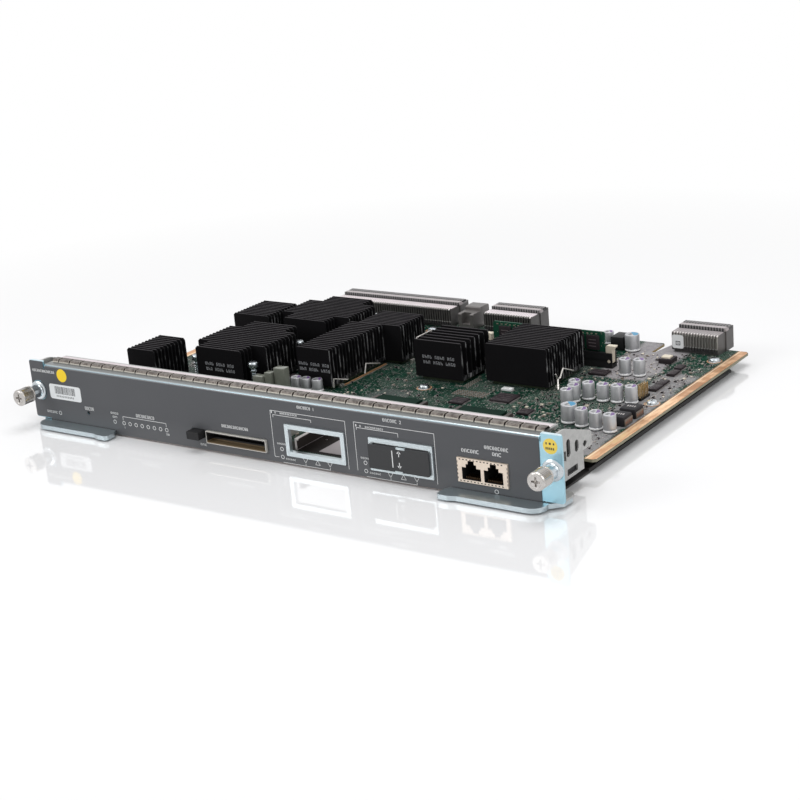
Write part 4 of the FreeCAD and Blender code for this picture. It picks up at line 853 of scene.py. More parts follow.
# From the top of a light down to its middle, and the middle of the ring under the jacks.
LIGHT_DROP = 1.3
JACK_RING = 153.8, 5.0
lights = sorted((middle_of(box, 0), box[1][2] - LIGHT_DROP) for box in solids_of("status_leds"))
status, active, *usage = lights
first_x, last_x = usage[0][0], usage[-1][0]
scale_z = usage[0][1]
scale_x = (first_x + last_x) / 2
reset_x = middle_of(span("reset_plunger"), 0)
bay_1 = middle_of(span("x2_bezel_1"), 0)
bay_2 = middle_of(span("x2_bezel_2"), 0)
LEGENDS = (
    # left, right, foot, height, then width, gap and line of the bars where they differ
    (status[0] - 11.8, status[0] - 2.7, status[1] - 0.8, 1.6),
    (active[0] - 2.8, active[0] + 3.6, active[1] + 5.0, 1.3),
    (active[0] - 1.5, active[0] + 2.3, active[1] + 2.6, 1.2),
    (scale_x - 6.6, scale_x + 8.4, scale_z + 5.3, 2.2),
    (reset_x - 2.7, reset_x + 4.9, 13.9, 2.3),
    (-36.6, -16.4, 17.0, 2.0, LETTER, LETTER_GAP, 0.34),
    (-55.2, -50.3, 3.1, 1.4),
    (133.1, 144.0, 25.1, 2.1, 1.2, LETTER_GAP, 0.4),
    (147.8, 162.6, 28.7, 2.1, 1.2, LETTER_GAP, 0.4),
    (152.6, 158.0, 25.4, 2.1, 1.2, LETTER_GAP, 0.4),
    (-192.9, -173.4, 35.0, 1.9),
    (bay_1 - 11.2, bay_1 - 1.6, 35.9, 2.0),
    (4.9, 11.0, 11.9, 1.2, 0.8, 0.35),
    (10.4, 17.4, 3.1, 1.1, 0.8, 0.35),
    (64.9, 70.9, 11.5, 1.2, 0.8, 0.35),
    (70.4, 77.8, 3.2, 1.1, 0.8, 0.35),
    (bay_2 - 11.0, bay_2 - 1.6, 35.8, 2.0),
)
for legend in LEGENDS:
    dashes(*legend)
TRAILS = (
    # the bracket over the usage lights, then the outlines of bay 1 and bay 2
    ((first_x - 0.4, scale_z + 2.0), (first_x - 0.4, scale_z + 4.3), (last_x, scale_z + 4.3),
     (last_x, scale_z + 2.0)),
    ((2.2, 4.0), (2.2, 32.5), (55.9, 32.5), (55.9, 3.6)),
    ((2.2, 4.0), (5.4, 4.0)),
    ((4.0, 28.4), (4.0, 30.0), (31.6, 30.0), (31.6, 28.4)),
    ((62.1, 4.0), (62.1, 33.0), (116.0, 33.0), (116.0, 3.5)),
    ((63.8, 28.6), (63.8, 29.9), (91.9, 29.9), (91.9, 27.6)),
)
for points in TRAILS:
    trail(*points)
for x, z in (*lights, JACK_RING):
    loop(x, z)
# Beside and under each bay: two rings for lights, then arrows on a ruled line.
BAY_LIGHTS = -25.5
BAY_LIGHT_ROWS = 9.3, 4.35
ARROW_STEP, ARROW_ROW, RULE_ROW = 8.8, 4.3, 1.1
for bay in (bay_1, bay_2):
    for z in BAY_LIGHT_ROWS:
        loop(bay + BAY_LIGHTS, z, 1.25)
    for step, point in ((-ARROW_STEP, -1), (0, 1), (ARROW_STEP, -1)):
        triangle(bay + step, ARROW_ROW, point)
    stroke(bay + BAY_LIGHTS + 0.1, RULE_ROW, bay + ARROW_STEP, RULE_ROW)
    for x in (bay - ARROW_STEP, bay + ARROW_STEP):
        stroke(x, RULE_ROW, x, 2.5)
for left, z in ((2.9, 31.4), (63.4, 30.9)):
    stroke(left + 0.2, z - 0.5, left + 0.2, z + 0.9, 0.7)
    dashes(left + 2.6, left + 3.6, z - 0.5, 1.3)
    dashes(left + 6.4, left + 18.8, z - 0.5, 1.2, 0.9, 0.35)
marks.piece("printed_marks", MODULE, "light_clear", print_white)

cover_front = span("x2_blank_cover")[0][1]
cover = Work()
cover_y = (cover_front - PRINT, cover_front + 0.01)
cover.block((88.4, 89.0), cover_y, (10.4, 20.4))
for tip, foot in ((20.8, 17.2), (10.1, 13.7)):
    cover.block((92.95, 93.45), cover_y, tuple(sorted((tip, foot))))
    lean = 1 if tip > foot else -1
    cover.slab([(93.2, tip + 0.1 * lean), (91.8, tip - 1.7 * lean), (94.6, tip - 1.7 * lean)], 1, *cover_y)
catch_y = (cover_front - 0.3, cover_front + 0.8)
for x, z in (((91.6, 97.5), (21.5, 22.6)), ((90.0, 95.2), (7.4, 8.7))):
    cover.block(x, catch_y, z, 0.15, slot=1)
cover.piece("cover_marks", MODULE, "light_clear", print_white, bezel_metal)


def figure(text, x, z, height, name):
    """Flat printed number that faces the front."""
    curve = bpy.data.curves.new(name, "FONT")
    curve.body = text
    curve.size = height * 1.38 * MM
    curve.extrude = 0.02 * MM
    curve.align_x = "CENTER"
    holder = bpy.data.objects.new(name + "_text", curve)
    mesh = bpy.data.meshes.new_from_object(holder)
    bpy.data.objects.remove(holder)
    mesh.name = name
    place = (x * MM, (film_front - 0.02) * MM, z * MM)
    mesh.transform(Matrix.Translation(place) @ Matrix.Rotation(math.radians(90), 4, "X"))
    mesh.materials.clear()
    mesh.materials.append(print_white)
    made = bpy.data.objects.new(name, mesh)
    bpy.context.scene.collection.objects.link(made)
    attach(made, MODULE)


figure("1", bay_1 + 0.6, 35.9, 2.0, "bay_number_1")
figure("2", bay_2 + 0.8, 35.8, 2.0, "bay_number_2")
figure("1", first_x + 0.3, 5.6, 1.4, "scale_low")
figure("100", last_x + 0.4, 5.6, 1.4, "scale_high")


def rounded_outline(x, z, corner, steps=4):
    """Corners of a rectangle with rounded corners, between pairs x and z."""
    spots = []
    for cx, cz, start in ((x[1] - corner, z[1] - corner, 0), (x[0] + corner, z[1] - corner, 90),
                          (x[0] + corner, z[0] + corner, 180), (x[1] - corner, z[0] + corner, 270)):
        for k in range(steps + 1):
            angle = math.radians(start + 90.0 / steps * k)
            spots.append((cx + corner * math.cos(angle), cz + corner * math.sin(angle)))
    return spots


# The paper label: its place, its thickness, the bar code's rows and the number's under it.
LABEL_X, LABEL_Z = (-179.6, -152.0), (18.3, 28.2)
PAPER = 0.09
CODE_Z, NUMBER_Z = (21.9, 26.9), (19.7, 21.0)
label = Work()
label.slab(rounded_outline(LABEL_X, LABEL_Z, 1.6), 1, film_front - PAPER, film_front + 0.01)
label_y = (film_front - PAPER - 0.02, film_front - PAPER + 0.01)
bar_x = LABEL_X[0] + 4.6
while bar_x < LABEL_X[1] - 4.9:
    width = chance.choice((0.16, 0.16, 0.32, 0.5))
    label.block((bar_x, bar_x + width), label_y, CODE_Z, slot=1)
    bar_x += width + chance.choice((0.18, 0.3, 0.42))
for i in range(11):
    left = LABEL_X[0] + 5.6 + 1.45 * i
    label.block((left, left + 0.3), label_y, NUMBER_Z, slot=1)
    label.block((left + 0.6, left + 0.85), label_y, NUMBER_Z, slot=1)
label.piece("barcode_label", MODULE, "light_clear", paper, ink_and_shade)

# Radius of the round stickers, the place of the one on the ear and the depth of its print.
STICKER = 4.3
EAR_STICKER = 188.3, 0.0, 35.6
STICKER_INK = (-0.1, -0.07)
stickers = Work()
for (x, y, z), slot in (((-166.9, film_front, 34.6), 0), (EAR_STICKER, 1)):
    stickers.disc(STICKER, y - 0.08, y + 0.01, (x, 0, z), 1, 40, slot)
for x0, x1 in ((185.6, 186.4), (187.6, 188.8), (190.0, 190.8)):
    stickers.block((x0, x1), STICKER_INK, (36.4, 37.6), slot=2)
for i in range(5):
    stickers.block((185.5 + 1.1 * i, 186.2 + 1.1 * i), STICKER_INK, (33.6, 34.9), slot=2)
stickers.piece("round_stickers", MODULE, "light_clear", yellow, light_yellow, ink_and_shade)


# ---------------------------------------------------------------- jacks
CONTACTS = 8
teeth = Work()
shell_low, shell_high = jack_box
shell_front = shell_low[1]
for low, high, bottom, top, _ in jack_ports:
    for k in range(CONTACTS):
        x = low + 2.0 + (high - low - 4.0) * k / (CONTACTS - 1)
        teeth.block((x - 0.22, x + 0.22), (shell_front + 1.2, shell_front + 6.0),
                    (bottom + 0.2, bottom + 1.5), slot=1)
# Dark blocks along the shell's front edges: painted shade in the gap round the shell.
seam_y = (shell_front - 0.02, shell_front + 0.3)
for k in range(13):
    x = shell_low[0] + 1.4 + 2.2 * k
    if x < shell_high[0] - 1.0:
        for z in ((shell_low[2] + 0.5, shell_low[2] + 1.1), (shell_high[2] - 1.1, shell_high[2] - 0.5)):
            teeth.block((x, x + 1.0), seam_y, z)
for k in range(5):
    z = shell_low[2] + 1.6 + 2.3 * k
    for x in ((shell_low[0] + 0.05, shell_low[0] + 0.4), (shell_high[0] - 0.4, shell_high[0] - 0.05)):
        teeth.block(x, seam_y, (z, z + 1.2))
teeth.piece("jack_contacts", MODULE, "jack_shell", black_plastic, contact_gold)


# ---------------------------------------------------------------- captive screws
# The knurl: degrees from flank to flank, and how far crests and roots lie inside the head's radius.
KNURL_STEP = 5.0
KNURL_CREST, KNURL_ROOT = 0.1, 0.55


def knurled_head(side):
    """Thumbscrew with a straight-knurled head and a cross recess."""
    box = low, high = span("thumbscrew_" + side)
    x, z = centre_of(box, 0, 2)
    front, radius = low[1], (high[0] - low[0]) / 2
    body = Work()
    body.turned([
        (0, front + 0.22), (3.25, front + 0.22), (3.5, front), (radius - 0.9, front),
        (radius - 0.35, front + 0.25), (radius, front + 0.8), (radius, front + 1.2),
        (radius - 0.12, front + 1.5), (radius - 0.12, front + 9.1), (radius, front + 9.3),
        (radius, front + 9.8), (radius - 0.25, front + 10.0), (4.5, front + 10.0), (4.5, front + 3.0),
        (2.0, front + 3.0), (2.0, high[1] - 0.6), (1.5, high[1]), (0, high[1])], (x, 0, z), 1, 72)
    for vert in body.mesh.verts:
        reach = Vector((vert.co.x - x, vert.co.z - z))
        if front + 1.3 < vert.co.y < front + 9.2 and reach.length > radius - 0.3:
            tooth = round(math.degrees(math.atan2(reach.y, reach.x)) / KNURL_STEP) % 2
            reach *= (radius - (KNURL_CREST if tooth else KNURL_ROOT)) / reach.length
            vert.co.x, vert.co.z = x + reach.x, z + reach.y
    made = body.piece("screw_head_" + side, "thumbscrew_" + side, "nickel", nickel, smooth=20.0,
                      replaces=("thumbscrew_" + side,))
    cross = Work()
    arm, half, floor = (-2.7, 2.7), (-0.55, 0.55), (front - 1, front + 1.7)
    for across, upright in ((arm, half), (half, arm)):
        cross.block([x + step for step in across], floor, [z + step for step in upright])
    cross.turned([(0, front - 1), (1.3, front - 1), (1.3, front + 0.8), (0.4, front + 2.2),
                  (0, front + 2.2)], (x, 0, z), 1, 12)
    bmesh.ops.scale(cross.mesh, vec=(MM, MM, MM), verts=cross.mesh.verts)
    held = bpy.data.meshes.new("cross")
    cross.mesh.to_mesh(held)
    cutter = bpy.data.objects.new("cross_cutter", held)
    bpy.context.scene.collection.objects.link(cutter)
    cut = made.modifiers.new("Recess", "BOOLEAN")
    cut.operation = "DIFFERENCE"
    cut.solver = "EXACT"
    cut.use_self = True
    cut.object = cutter
    bpy.context.view_layer.update()
    shown = made.evaluated_get(bpy.context.evaluated_depsgraph_get())
    carved = bpy.data.meshes.new_from_object(shown)
    made.modifiers.clear()
    made.data = carved
    bpy.data.objects.remove(cutter)


def ferrule(side):
    """Collar with a domed flange and the neck that the screw slides in."""
    box = low, high = span("screw_ferrule_" + side)
    x, z = centre_of(box, 0, 2)
    flange = (high[0] - low[0]) / 2
    body = Work()
    body.turned([
        (2.06, high[1]), (2.06, -1.6), (3.4, -1.6), (3.4, low[1]), (3.9, low[1]), (4.2, low[1] + 0.3),
        (4.2, -2.3), (4.5, -1.8), (flange - 0.7, -1.5), (flange - 0.15, -1.1), (flange, -0.6),
        (flange, 0.0), (4.6, 0.0), (4.6, high[1])], (x, 0, z), 1, 64, ring=True)
    body.piece("collar_" + side, MODULE, "nickel", bright_nickel, smooth=30.0,
               replaces=("screw_ferrule_" + side,))


SPRING_WIRE = 0.25
SPRING_TURNS = 5
TURN_POINTS = 12


def coil_spring(side):
    """Coil spring round the screw's shank."""
    name = "screw_spring_" + side
    box = low, high = span(name)
    x, z = centre_of(box, 0, 2)
    radius = (high[0] - low[0]) / 2 - SPRING_WIRE
    steps = SPRING_TURNS * TURN_POINTS
    rise = (high[1] - low[1] - 2 * SPRING_WIRE) / steps
    path = []
    for k in range(steps + 1):
        angle = math.tau * k / TURN_POINTS
        path.append((x + radius * math.cos(angle), low[1] + SPRING_WIRE + rise * k,
                     z + radius * math.sin(angle)))
    body = Work()
    body.wire(path, SPRING_WIRE)
    made = body.piece("screw_coil_" + side, MODULE, "nickel", wire_nickel, replaces=(name,))
    x * MM
    z * MM
    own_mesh(made)


for side, _ in SIDES:
    knurled_head(side)
    ferrule(side)
    coil_spring(side)


# Black sheets just inside the brackets' holes: painted shade for the dark inside them.
BRACKET_HOLES = (
    # outer face of the bracket there, then front, back, foot and top of the dark hole
    (188.8, 13.3, 17.9, 24.1, 34.5),
    (188.8, 22.2, 26.8, 24.1, 31.2),
    (188.8, 31.1, 35.7, 24.1, 27.9),
    (183.3, 22.7, 34.3, 9.7, 13.9),
)
holes = Work()
for _, sign in SIDES:
    for plate_x, y0, y1, z0, z1 in BRACKET_HOLES:
        holes.block(sorted((sign * plate_x, sign * (plate_x - 0.4))), (y0, y1), (z0, z1))
holes.piece("bracket_shades", MODULE, "black_plastic", black_plastic)


# ---------------------------------------------------------------- heatsinks: posts, wire clips, print
SPRING_LOOPS = 6
LOOP_STEP = 1.4
posts = Work()
for box in solids_of("heatsink_posts"):
    x, y = centre_of(box)
    base, top = box[0][2], box[1][2]
    posts.disc(1.5, base, base + 12.9, (x, y, 0))
    for k in range(SPRING_LOOPS):
        ring = base + 5.2 + LOOP_STEP * k
        posts.turned([(1.6, ring), (2.2, ring + 0.1), (2.2, ring + 0.55), (1.6, ring + 0.65)],
                     (x, y, 0), 2, 16, ring=True)
    posts.disc(2.6, top - 6.2, top - 5.4, (x, y, 0), steps=24)
    posts.turned([(0, top - 5.5), (1.8, top - 5.5), (1.8, top - 4.1), (3.0, top - 3.7), (3.3, top - 3.2),
                  (3.3, top - 0.9), (2.9, top - 0.2), (2.3, top), (0, top)], (x, y, 0), 2, 24)
    # Dark bar across the head standing for its slot: painted shade.
    posts.block((x - 2.4, x + 2.4), (y - 0.4, y + 0.4), (top - 0.3, top + 0.02), slot=1)
posts.piece("sprung_posts", MODULE, "nickel", bright_nickel, ink_and_shade, replaces=("heatsink_posts",))

CLIP_WIRE = 0.55
CLIP_PATHS = (
    ((105.8, 152.0, 8.6), (104.0, 155.0, 14.4), (104.0, 152.8, 18.0)),
    ((104.0, 155.0, 14.4), (104.0, 157.9, 14.2), (104.0, 162.0, 19.1), (104.0, 175.0, 13.7)),
    ((-28.0, 99.3, 11.3), (-28.0, 100.1, 16.7), (-28.0, 114.5, 11.8)),
    ((-28.0, 133.3, 10.2), (-28.0, 135.3, 16.4), (-28.0, 150.5, 11.8)),
    ((6.6, 143.0, 20.0), (6.6, 146.0, 34.2), (6.6, 164.0, 34.2), (6.6, 166.0, 20.0)),
)
clips = Work()
for path in CLIP_PATHS:
    clips.wire(path, CLIP_WIRE)
for low, high in solids_of("heatsink_clips"):
    x = middle_of((low, high), 0)
    for y in ((low[1], low[1] + 1.2), (high[1] - 1.2, high[1])):
        clips.block((x - 0.9, x + 0.9), y, (low[2], low[2] + 2.6), 0.1)
clips.piece("wire_clips", MODULE, "nickel", wire_nickel, replaces=("heatsink_clips",))


# ---------------------------------------------------------------- board: edge land, cans, chips
_, board_high = span("main_board")
foil = Work()
LAND = 7.4
LAND_FRONT = 54.2
for _, sign in SIDES[::-1]:
    outer, inner = sign * (board_high[0] - 0.15), sign * (board_high[0] - LAND)
    cut_x = outer - sign * 2.0
    foil.slab([(outer, LAND_FRONT + 2.0), (outer, board_high[1] - 2.2), (cut_x, board_high[1] - 0.2),
               (inner, board_high[1] - 0.2), (inner, LAND_FRONT), (cut_x, LAND_FRONT)],
              2, BOARD_TOP - 0.01, BOARD_TOP + 0.05)
foil.piece("edge_foil", MODULE, "gold", edge_land)


CAN_STEPS = 28


def can_row(name, node, mark, spread=75, radius_cut=0.2):
    """Round cans with a crimp groove, a painted reflection in white on the flare at their foot and a
    coloured segment on top.
    """
    cans = Work()
    for box in solids_of(node):
        low, high = box
        x, y = centre_of(box)
        radius = (high[0] - low[0]) / 2 - radius_cut
        base, top = low[2], high[2]
        cans.disc(radius + 0.1, base, base + 0.55, (x, y, 0), steps=CAN_STEPS, slot=3)
        # White flare at the foot: painted reflection.
        cans.turned([(0, base + 0.5), (radius, base + 0.5), (radius + 0.18, base + 0.7),
                     (radius + 0.18, base + 1.3), (radius - 0.1, base + 1.5), (0, base + 1.5)],
                    (x, y, 0), 2, CAN_STEPS, slot=2)
        cans.turned([(0, base + 1.45), (radius - 0.1, base + 1.45), (radius - 0.3, base + 1.9),
                     (radius, base + 2.4), (radius, base + 2.7), (radius - 0.02, top - 0.5),
                     (radius - 0.15, top - 0.15), (radius - 0.5, top), (radius - 0.8, top - 0.12),
                     (0, top - 0.12)], (x, y, 0), 2, CAN_STEPS)
        turn = math.radians(chance.uniform(10, 50))
        arc = []
        for k in range(11):
            angle = turn + math.radians(-spread + 2 * spread * k / 10)
            arc.append((x + (radius - 0.75) * math.cos(angle), y + (radius - 0.75) * math.sin(angle)))
        cans.slab(arc, 2, top - 0.13, top - 0.05, slot=1)
        for k in range(3):
            spot = (x - 1.2 * math.cos(turn) - 0.9, y - 1.2 * math.sin(turn) + 1.1 - 1.1 * k)
            cans.block((spot[0], spot[0] + 1.9), (spot[1], spot[1] + 0.4), (top - 0.13, top - 0.06), slot=3)
    cans.piece(name, MODULE, "can_aluminium", can_metal, mark, flare_reflection, ink_and_shade, replaces=(node,))


can_row("drawn_cans", "capacitors", violet)
can_row("drawn_cans_blue", "capacitors_marked", blue, 85)
can_row("drawn_cans_small", "capacitors_small", violet, 70, -0.3)

# Screws with a bare ring of the board round their washers: those inside the board's edge land.
RING_REACH = 176
screws = Work()
for box in solids_of("board_screws"):
    x, y = centre_of(box)
    base = box[0][2]
    screws.turned([(0, base), (4.1, base), (4.1, base + 0.35), (3.9, base + 0.45), (0, base + 0.45)],
                  (x, y, 0), 2, 32)
    screws.turned([(0, base + 0.4), (3.3, base + 0.4), (3.3, base + 1.2), (2.9, base + 1.9),
                   (1.9, base + 2.35), (0, base + 2.4)], (x, y, 0), 2, 32)
    # Dark cross standing for the recess: painted shade.
    for angle in (20, 110):
        screws.block((-1.6 + x, 1.6 + x), (-0.28 + y, 0.28 + y), (base + 1.9, base + 2.42),
                     slot=1, turn=angle)
    if abs(x) < RING_REACH and base < BOARD_TOP + 0.6:
        screws.disc(5.0, base, base + 0.06, (x, y, 0), steps=32, slot=2)
screws.piece("screws_and_washers", MODULE, "nickel", bright_nickel, ink_and_shade, resist_ring,
             replaces=("board_screws",))

coils = Work()
for low, high in solids_of("power_inductors"):
    x, y = centre_of((low, high))
    base, top = low[2], high[2]
    coils.block((low[0], high[0] - 0.5), (low[1], high[1]), (base + 0.5, top), 0.9)
    coils.block((low[0] + 0.6, high[0] - 0.9), (low[1] + 0.6, high[1] - 0.6), (base, base + 0.6))
    coils.block((high[0] - 0.55, high[0]), (low[1] + 0.7, high[1] - 0.7), (base, base + 4.2), 0.15, slot=1)
    for k in range(4):
        y0 = low[1] + 1.5 + 2.15 * k
        coils.block((high[0] - 0.3, high[0] + 0.03), (y0 + 0.2, y0 + 0.8), (base + 1.2, base + 3.0), slot=2)
        coils.block((x - 2.6 + 1.5 * k, x - 1.9 + 1.5 * k), (y - 1.2, y + 1.0),
                    (top - 0.02, top + 0.02), slot=3)
coils.piece("wound_inductors", MODULE, "ferrite", ferrite, coil_plate, coil_red, tin,
            replaces=("power_inductors",))

# The one pale chip, found by where its middle lies: left, right, front, back.
PALE_X, PALE_Y = (70.0, 82.0), (136.0, 146.0)
PIN_PITCH, PIN_WIDE, PIN_HIGH = 0.8, 0.42, 0.45
LARGE_PACK = 12
packs = Work()
for low, high in solids_of("flat_pack_chips"):
    wide, deep = high[0] - low[0], high[1] - low[1]
    x, y = centre_of((low, high))
    top = high[2]
    print_z = (top - 0.02, top + 0.01)
    pale = PALE_X[0] < x < PALE_X[1] and PALE_Y[0] < y < PALE_Y[1]
    packs.block((low[0] + 1.0, high[0] - 1.0), (low[1], high[1]), (low[2] + 0.15, top), 0.12,
                slot=3 if pale else 0)
    packs.disc(0.45, *print_z, (low[0] + 2.2, low[1] + 1.2, 0), steps=12, slot=2)
    rows = max(2, int(deep / 3.0))
    for row in range(rows):
        for k in range(max(2, int((wide - 4) / 1.1))):
            if chance.random() < 0.2:
                continue
            left = low[0] + 1.8 + 1.1 * k
            y0 = low[1] + deep * (row + 0.7) / (rows + 0.6)
            packs.block((left, left + 0.7), (y0, y0 + 0.55), print_z, slot=2)
    pin_z = (low[2], low[2] + PIN_HIGH)
    for k in range(int((deep - 0.8) / PIN_PITCH)):
        y0 = low[1] + 0.6 + PIN_PITCH * k
        for inner, outer in ((low[0] + 1.1, low[0]), (high[0] - 1.1, high[0])):
            packs.block(sorted((inner, outer)), (y0, y0 + PIN_WIDE), pin_z, slot=1)
    if deep > LARGE_PACK:
        for k in range(int((wide - 3.5) / PIN_PITCH)):
            x0 = low[0] + 1.8 + PIN_PITCH * k
            for inner, outer in ((low[1] + 0.2, low[1] - 0.9), (high[1] - 0.2, high[1] + 0.9)):
                packs.block((x0, x0 + PIN_WIDE), sorted((inner, outer)), pin_z, slot=1)
packs.piece("leaded_chips", MODULE, "chip_black", package, tin, package_mark, print_white,
            replaces=("flat_pack_chips",))

MEMORY_CHIPS = 7
CHIP_PITCH, CHIP_WIDE = 10.9, 9.0
RESISTORS = 24
memory = Work()
card_low, card_high = span("memory_module")
for k in range(MEMORY_CHIPS):
    x = card_low[0] + 5.5 + CHIP_PITCH * k
    for y0, y1 in ((card_low[1] - 1.1, card_low[1] + 0.05), (card_high[1] - 0.05, card_high[1] + 1.1)):
        memory.block((x, x + CHIP_WIDE), (y0, y1), (19.2, 28.7), 0.12)
        face = y0 if y0 < card_low[1] else y1
        for row in range(3):
            memory.block((x + 1.6, x + 6.9), (face - 0.02, face + 0.02),
                         (21.4 + 2.1 * row, 21.9 + 2.1 * row), slot=1)
for k in range(RESISTORS):
    x = card_low[0] + 3.5 + 3.2 * k
    memory.block((x, x + 1.3), (card_low[1] - 0.35, card_low[1] + 0.05), (29.4, 30.0), slot=2)
memory.piece("memory_chips", MODULE, "chip_black", package, package_mark, tan_chip)

SINK_FRONTS = ("heatsink_left_mid", "heatsink_centre", "heatsink_right_mid")
bars = Work()
for name in SINK_FRONTS:
    low, high = span(name)
    front = (low[1] - 0.03, low[1] + 0.01)
    for row in range(2):
        z = low[2] + 12.6 - 3.6 * row
        for k in range(13):
            x = middle_of((low, high), 0) - 12.0 + 1.9 * k + 0.5 * row
            if (k + row) % 5 != 4:
                cross_z = z + 0.9 * (k % 3)
                bars.block((x, x + 0.3), front, (z, z + 2.1))
                bars.block((x + 0.9, x + 1.2), front, (z, z + 2.1 - 0.9 * (k % 2)))
                bars.block((x, x + 1.2), front, (cross_z, cross_z + 0.3))
bars.piece("heatsink_print", MODULE, "light_clear", sink_print)

# Where small parts keep away: round everything that stands on the board between these two heights.
KEEP_OFF = 0.7
NEAR_BOARD = BOARD_TOP + 0.02, 12.5
# Nodes that small parts may stand on or beside.
OPEN_BOARD = ("main_board", "carrier_tray", "faceplate", "board_standoffs", "tray_rivets", "front_overlay",
              "emi_finger_strip")
blocked = []


def block_off(x0, x1, y0, y1):
    """Keeps small parts off a rectangle of the board."""
    blocked.append((x0 - KEEP_OFF, x1 + KEEP_OFF, y0 - KEEP_OFF, y1 + KEEP_OFF))


for name in frame["nodes"]:
    if name in OPEN_BOARD:
        continue
    for low, high in solids_of(name):
        if high[2] > NEAR_BOARD[0] and low[2] < NEAR_BOARD[1]:
            reach = TRAVEL["flash_eject_push"] if name == "flash_eject_button" else 0
            block_off(low[0], high[0], low[1], high[1] + reach)

TALL_PARTS = (
    # left, right, front, back, top, rounding, finish
    (-74.0, -66.5, 75.0, 80.5, 21.5, 0.5, 0),
    (-65.9, -60.6, 77.0, 82.5, 24.0, 0.5, 0),
    (-60.0, -51.6, 79.5, 85.5, 27.0, 0.5, 0),
    (97.0, 106.0, 238.0, 250.0, 17.0, 0.4, 1),
    (140.6, 146.6, 223.6, 229.0, 12.2, 0.4, 5),
)
tall = Work()
for x0, x1, y0, y1, top, bevel, slot in TALL_PARTS:
    tall.block((x0, x1), (y0, y1), (BOARD_TOP, top), bevel, slot=slot)
    block_off(x0, x1, y0, y1)
BAR_Y = (112.0, 160.0)
tall.block((-30.4, -29.2), BAR_Y, (BOARD_TOP, 8.8), slot=3)
tall.block((-28.9, -28.5), BAR_Y, (BOARD_TOP, 8.3), slot=4)
tall.piece("tall_parts", MODULE, "black_plastic", clear_block, black_plastic, tan_chip, copper_bar,
           tin, cream)

comb_x, comb_y, _ = span("backplane_connector_right")[0]
plate = Work()
plate.slab(rounded_outline((comb_x + 0.9, comb_x + 8.9), (11.0, 20.0), 1.4), 1,
           comb_y - 0.15, comb_y + 0.01)
PLATE_INK = (
    # left, foot, width, height
    (3.4, 15.4, 3.2, 0.5), (3.4, 13.1, 3.2, 0.5), (3.4, 13.1, 0.5, 2.8), (6.1, 13.1, 0.5, 2.8),
    (4.5, 14.2, 1.0, 0.6),
)
for x, z, wide, high in PLATE_INK:
    plate.block((comb_x + x, comb_x + x + wide), (comb_y - 0.17, comb_y - 0.14), (z, z + high), slot=1)
plate.piece("connector_label", MODULE, "light_clear", paper, ink_and_shade)

TIP_TOP = 21.8
tips = Work()
for part, *_ in COMBS:
    low, high = span("backplane_connector_" + part)
    for k in range(int((high[0] - low[0] - 2.0) / WAFER_PITCH)):
        x = low[0] + 1.6 + WAFER_PITCH * k
        tips.block((x, x + 0.9), (low[1] - 0.12, low[1] + 1.0), (TIP_TOP - 0.9, TIP_TOP + 0.08))
tips.piece("comb_tips", MODULE, "nickel", tin)

small = Work()
taken = []
SIZES = (
    # length, width, height of a chip component
    (1.0, 0.5, 0.35), (1.0, 0.5, 0.35), (1.6, 0.8, 0.5), (1.6, 0.8, 0.45), (2.0, 1.0, 0.5), (2.6, 1.4, 0.8),
)
# Room round each component, and how far out, back and into the front corners they go.
GAP = 0.2
PART_SIDE, PART_BACK = 174.0, 245.0
FRONT_CORNER = 166, 50


def free(x, y, across, along):
    """Whether a small part of these half sizes has room on the board."""
    if any(a - across < x < b + across and c - along < y < d + along for a, b, c, d in blocked):
        return False
    if NOTCH[0] < x + across and x - across < NOTCH[1] + 1 and y + along > NOTCH[2]:
        return False
    corner = abs(x) > FRONT_CORNER[0] and y < FRONT_CORNER[1]
    if abs(x) + across > PART_SIDE or corner or y + along > PART_BACK:
        return False
    return all(abs(x - p) > across + q or abs(y - r) > along + s for p, r, q, s in taken)


def small_part(x, y, size, turn, slot):
    """Two-ended chip component; turn sets its length along the board."""
    long, wide, high = size
    if turn:
        long, wide = wide, long
    small.block((x - long / 2, x + long / 2), (y - wide / 2, y + wide / 2),
                (BOARD_TOP, BOARD_TOP + high), slot=slot)
    cap_z = (BOARD_TOP, BOARD_TOP + high + 0.03)
    for end in (-1, 1):
        if turn:
            y0 = y + end * (wide / 2 - 0.12)
            cap = (x - long / 2 - 0.04, x + long / 2 + 0.04), (y0 - 0.2, y0 + 0.2)
        else:
            x0 = x + end * (long / 2 - 0.12)
            cap = (x0 - 0.2, x0 + 0.2), (y - wide / 2 - 0.04, y + wide / 2 + 0.04)
        small.block(*cap, cap_z, slot=3)


def place_part(x, y, size, turn, slot):
    """Sets a small part where there is room for it."""
    across, along = size[0] / 2 + GAP, size[1] / 2 + GAP
    if turn:
        across, along = along, across
    if free(x, y, across, along):
        taken.append((x, y, across, along))
        small_part(x, y, size, turn, slot)


BANKS = (
    # left, right and step, front, back and step, size, turned, finish
    ((47.0, 70.0, 3.0), (123.5, 132.5, 2.4), (2.0, 1.0, 0.5), False, 0),
    ((40.5, 50.0, 2.6), (138.0, 155.0, 2.2), (1.6, 0.8, 0.5), False, 0),
    ((-28.0, 4.0, 3.2), (72.0, 84.0, 2.6), (2.0, 1.25, 0.6), False, 1),
    ((112.0, 121.0, 2.2), (60.0, 90.0, 3.0), (2.0, 1.0, 0.5), True, 1),
    ((134.0, 152.0, 2.4), (30.0, 42.0, 3.0), (2.0, 1.0, 0.5), True, 0),
    ((-128.0, -92.0, 3.4), (222.0, 236.0, 2.8), (2.0, 1.25, 0.6), False, 1),
    ((60.0, 84.0, 2.4), (224.0, 240.0, 3.0), (2.0, 1.0, 0.5), True, 0),
    ((-160.0, -140.0, 2.6), (110.0, 140.0, 3.0), (2.0, 1.0, 0.5), True, 1),
)
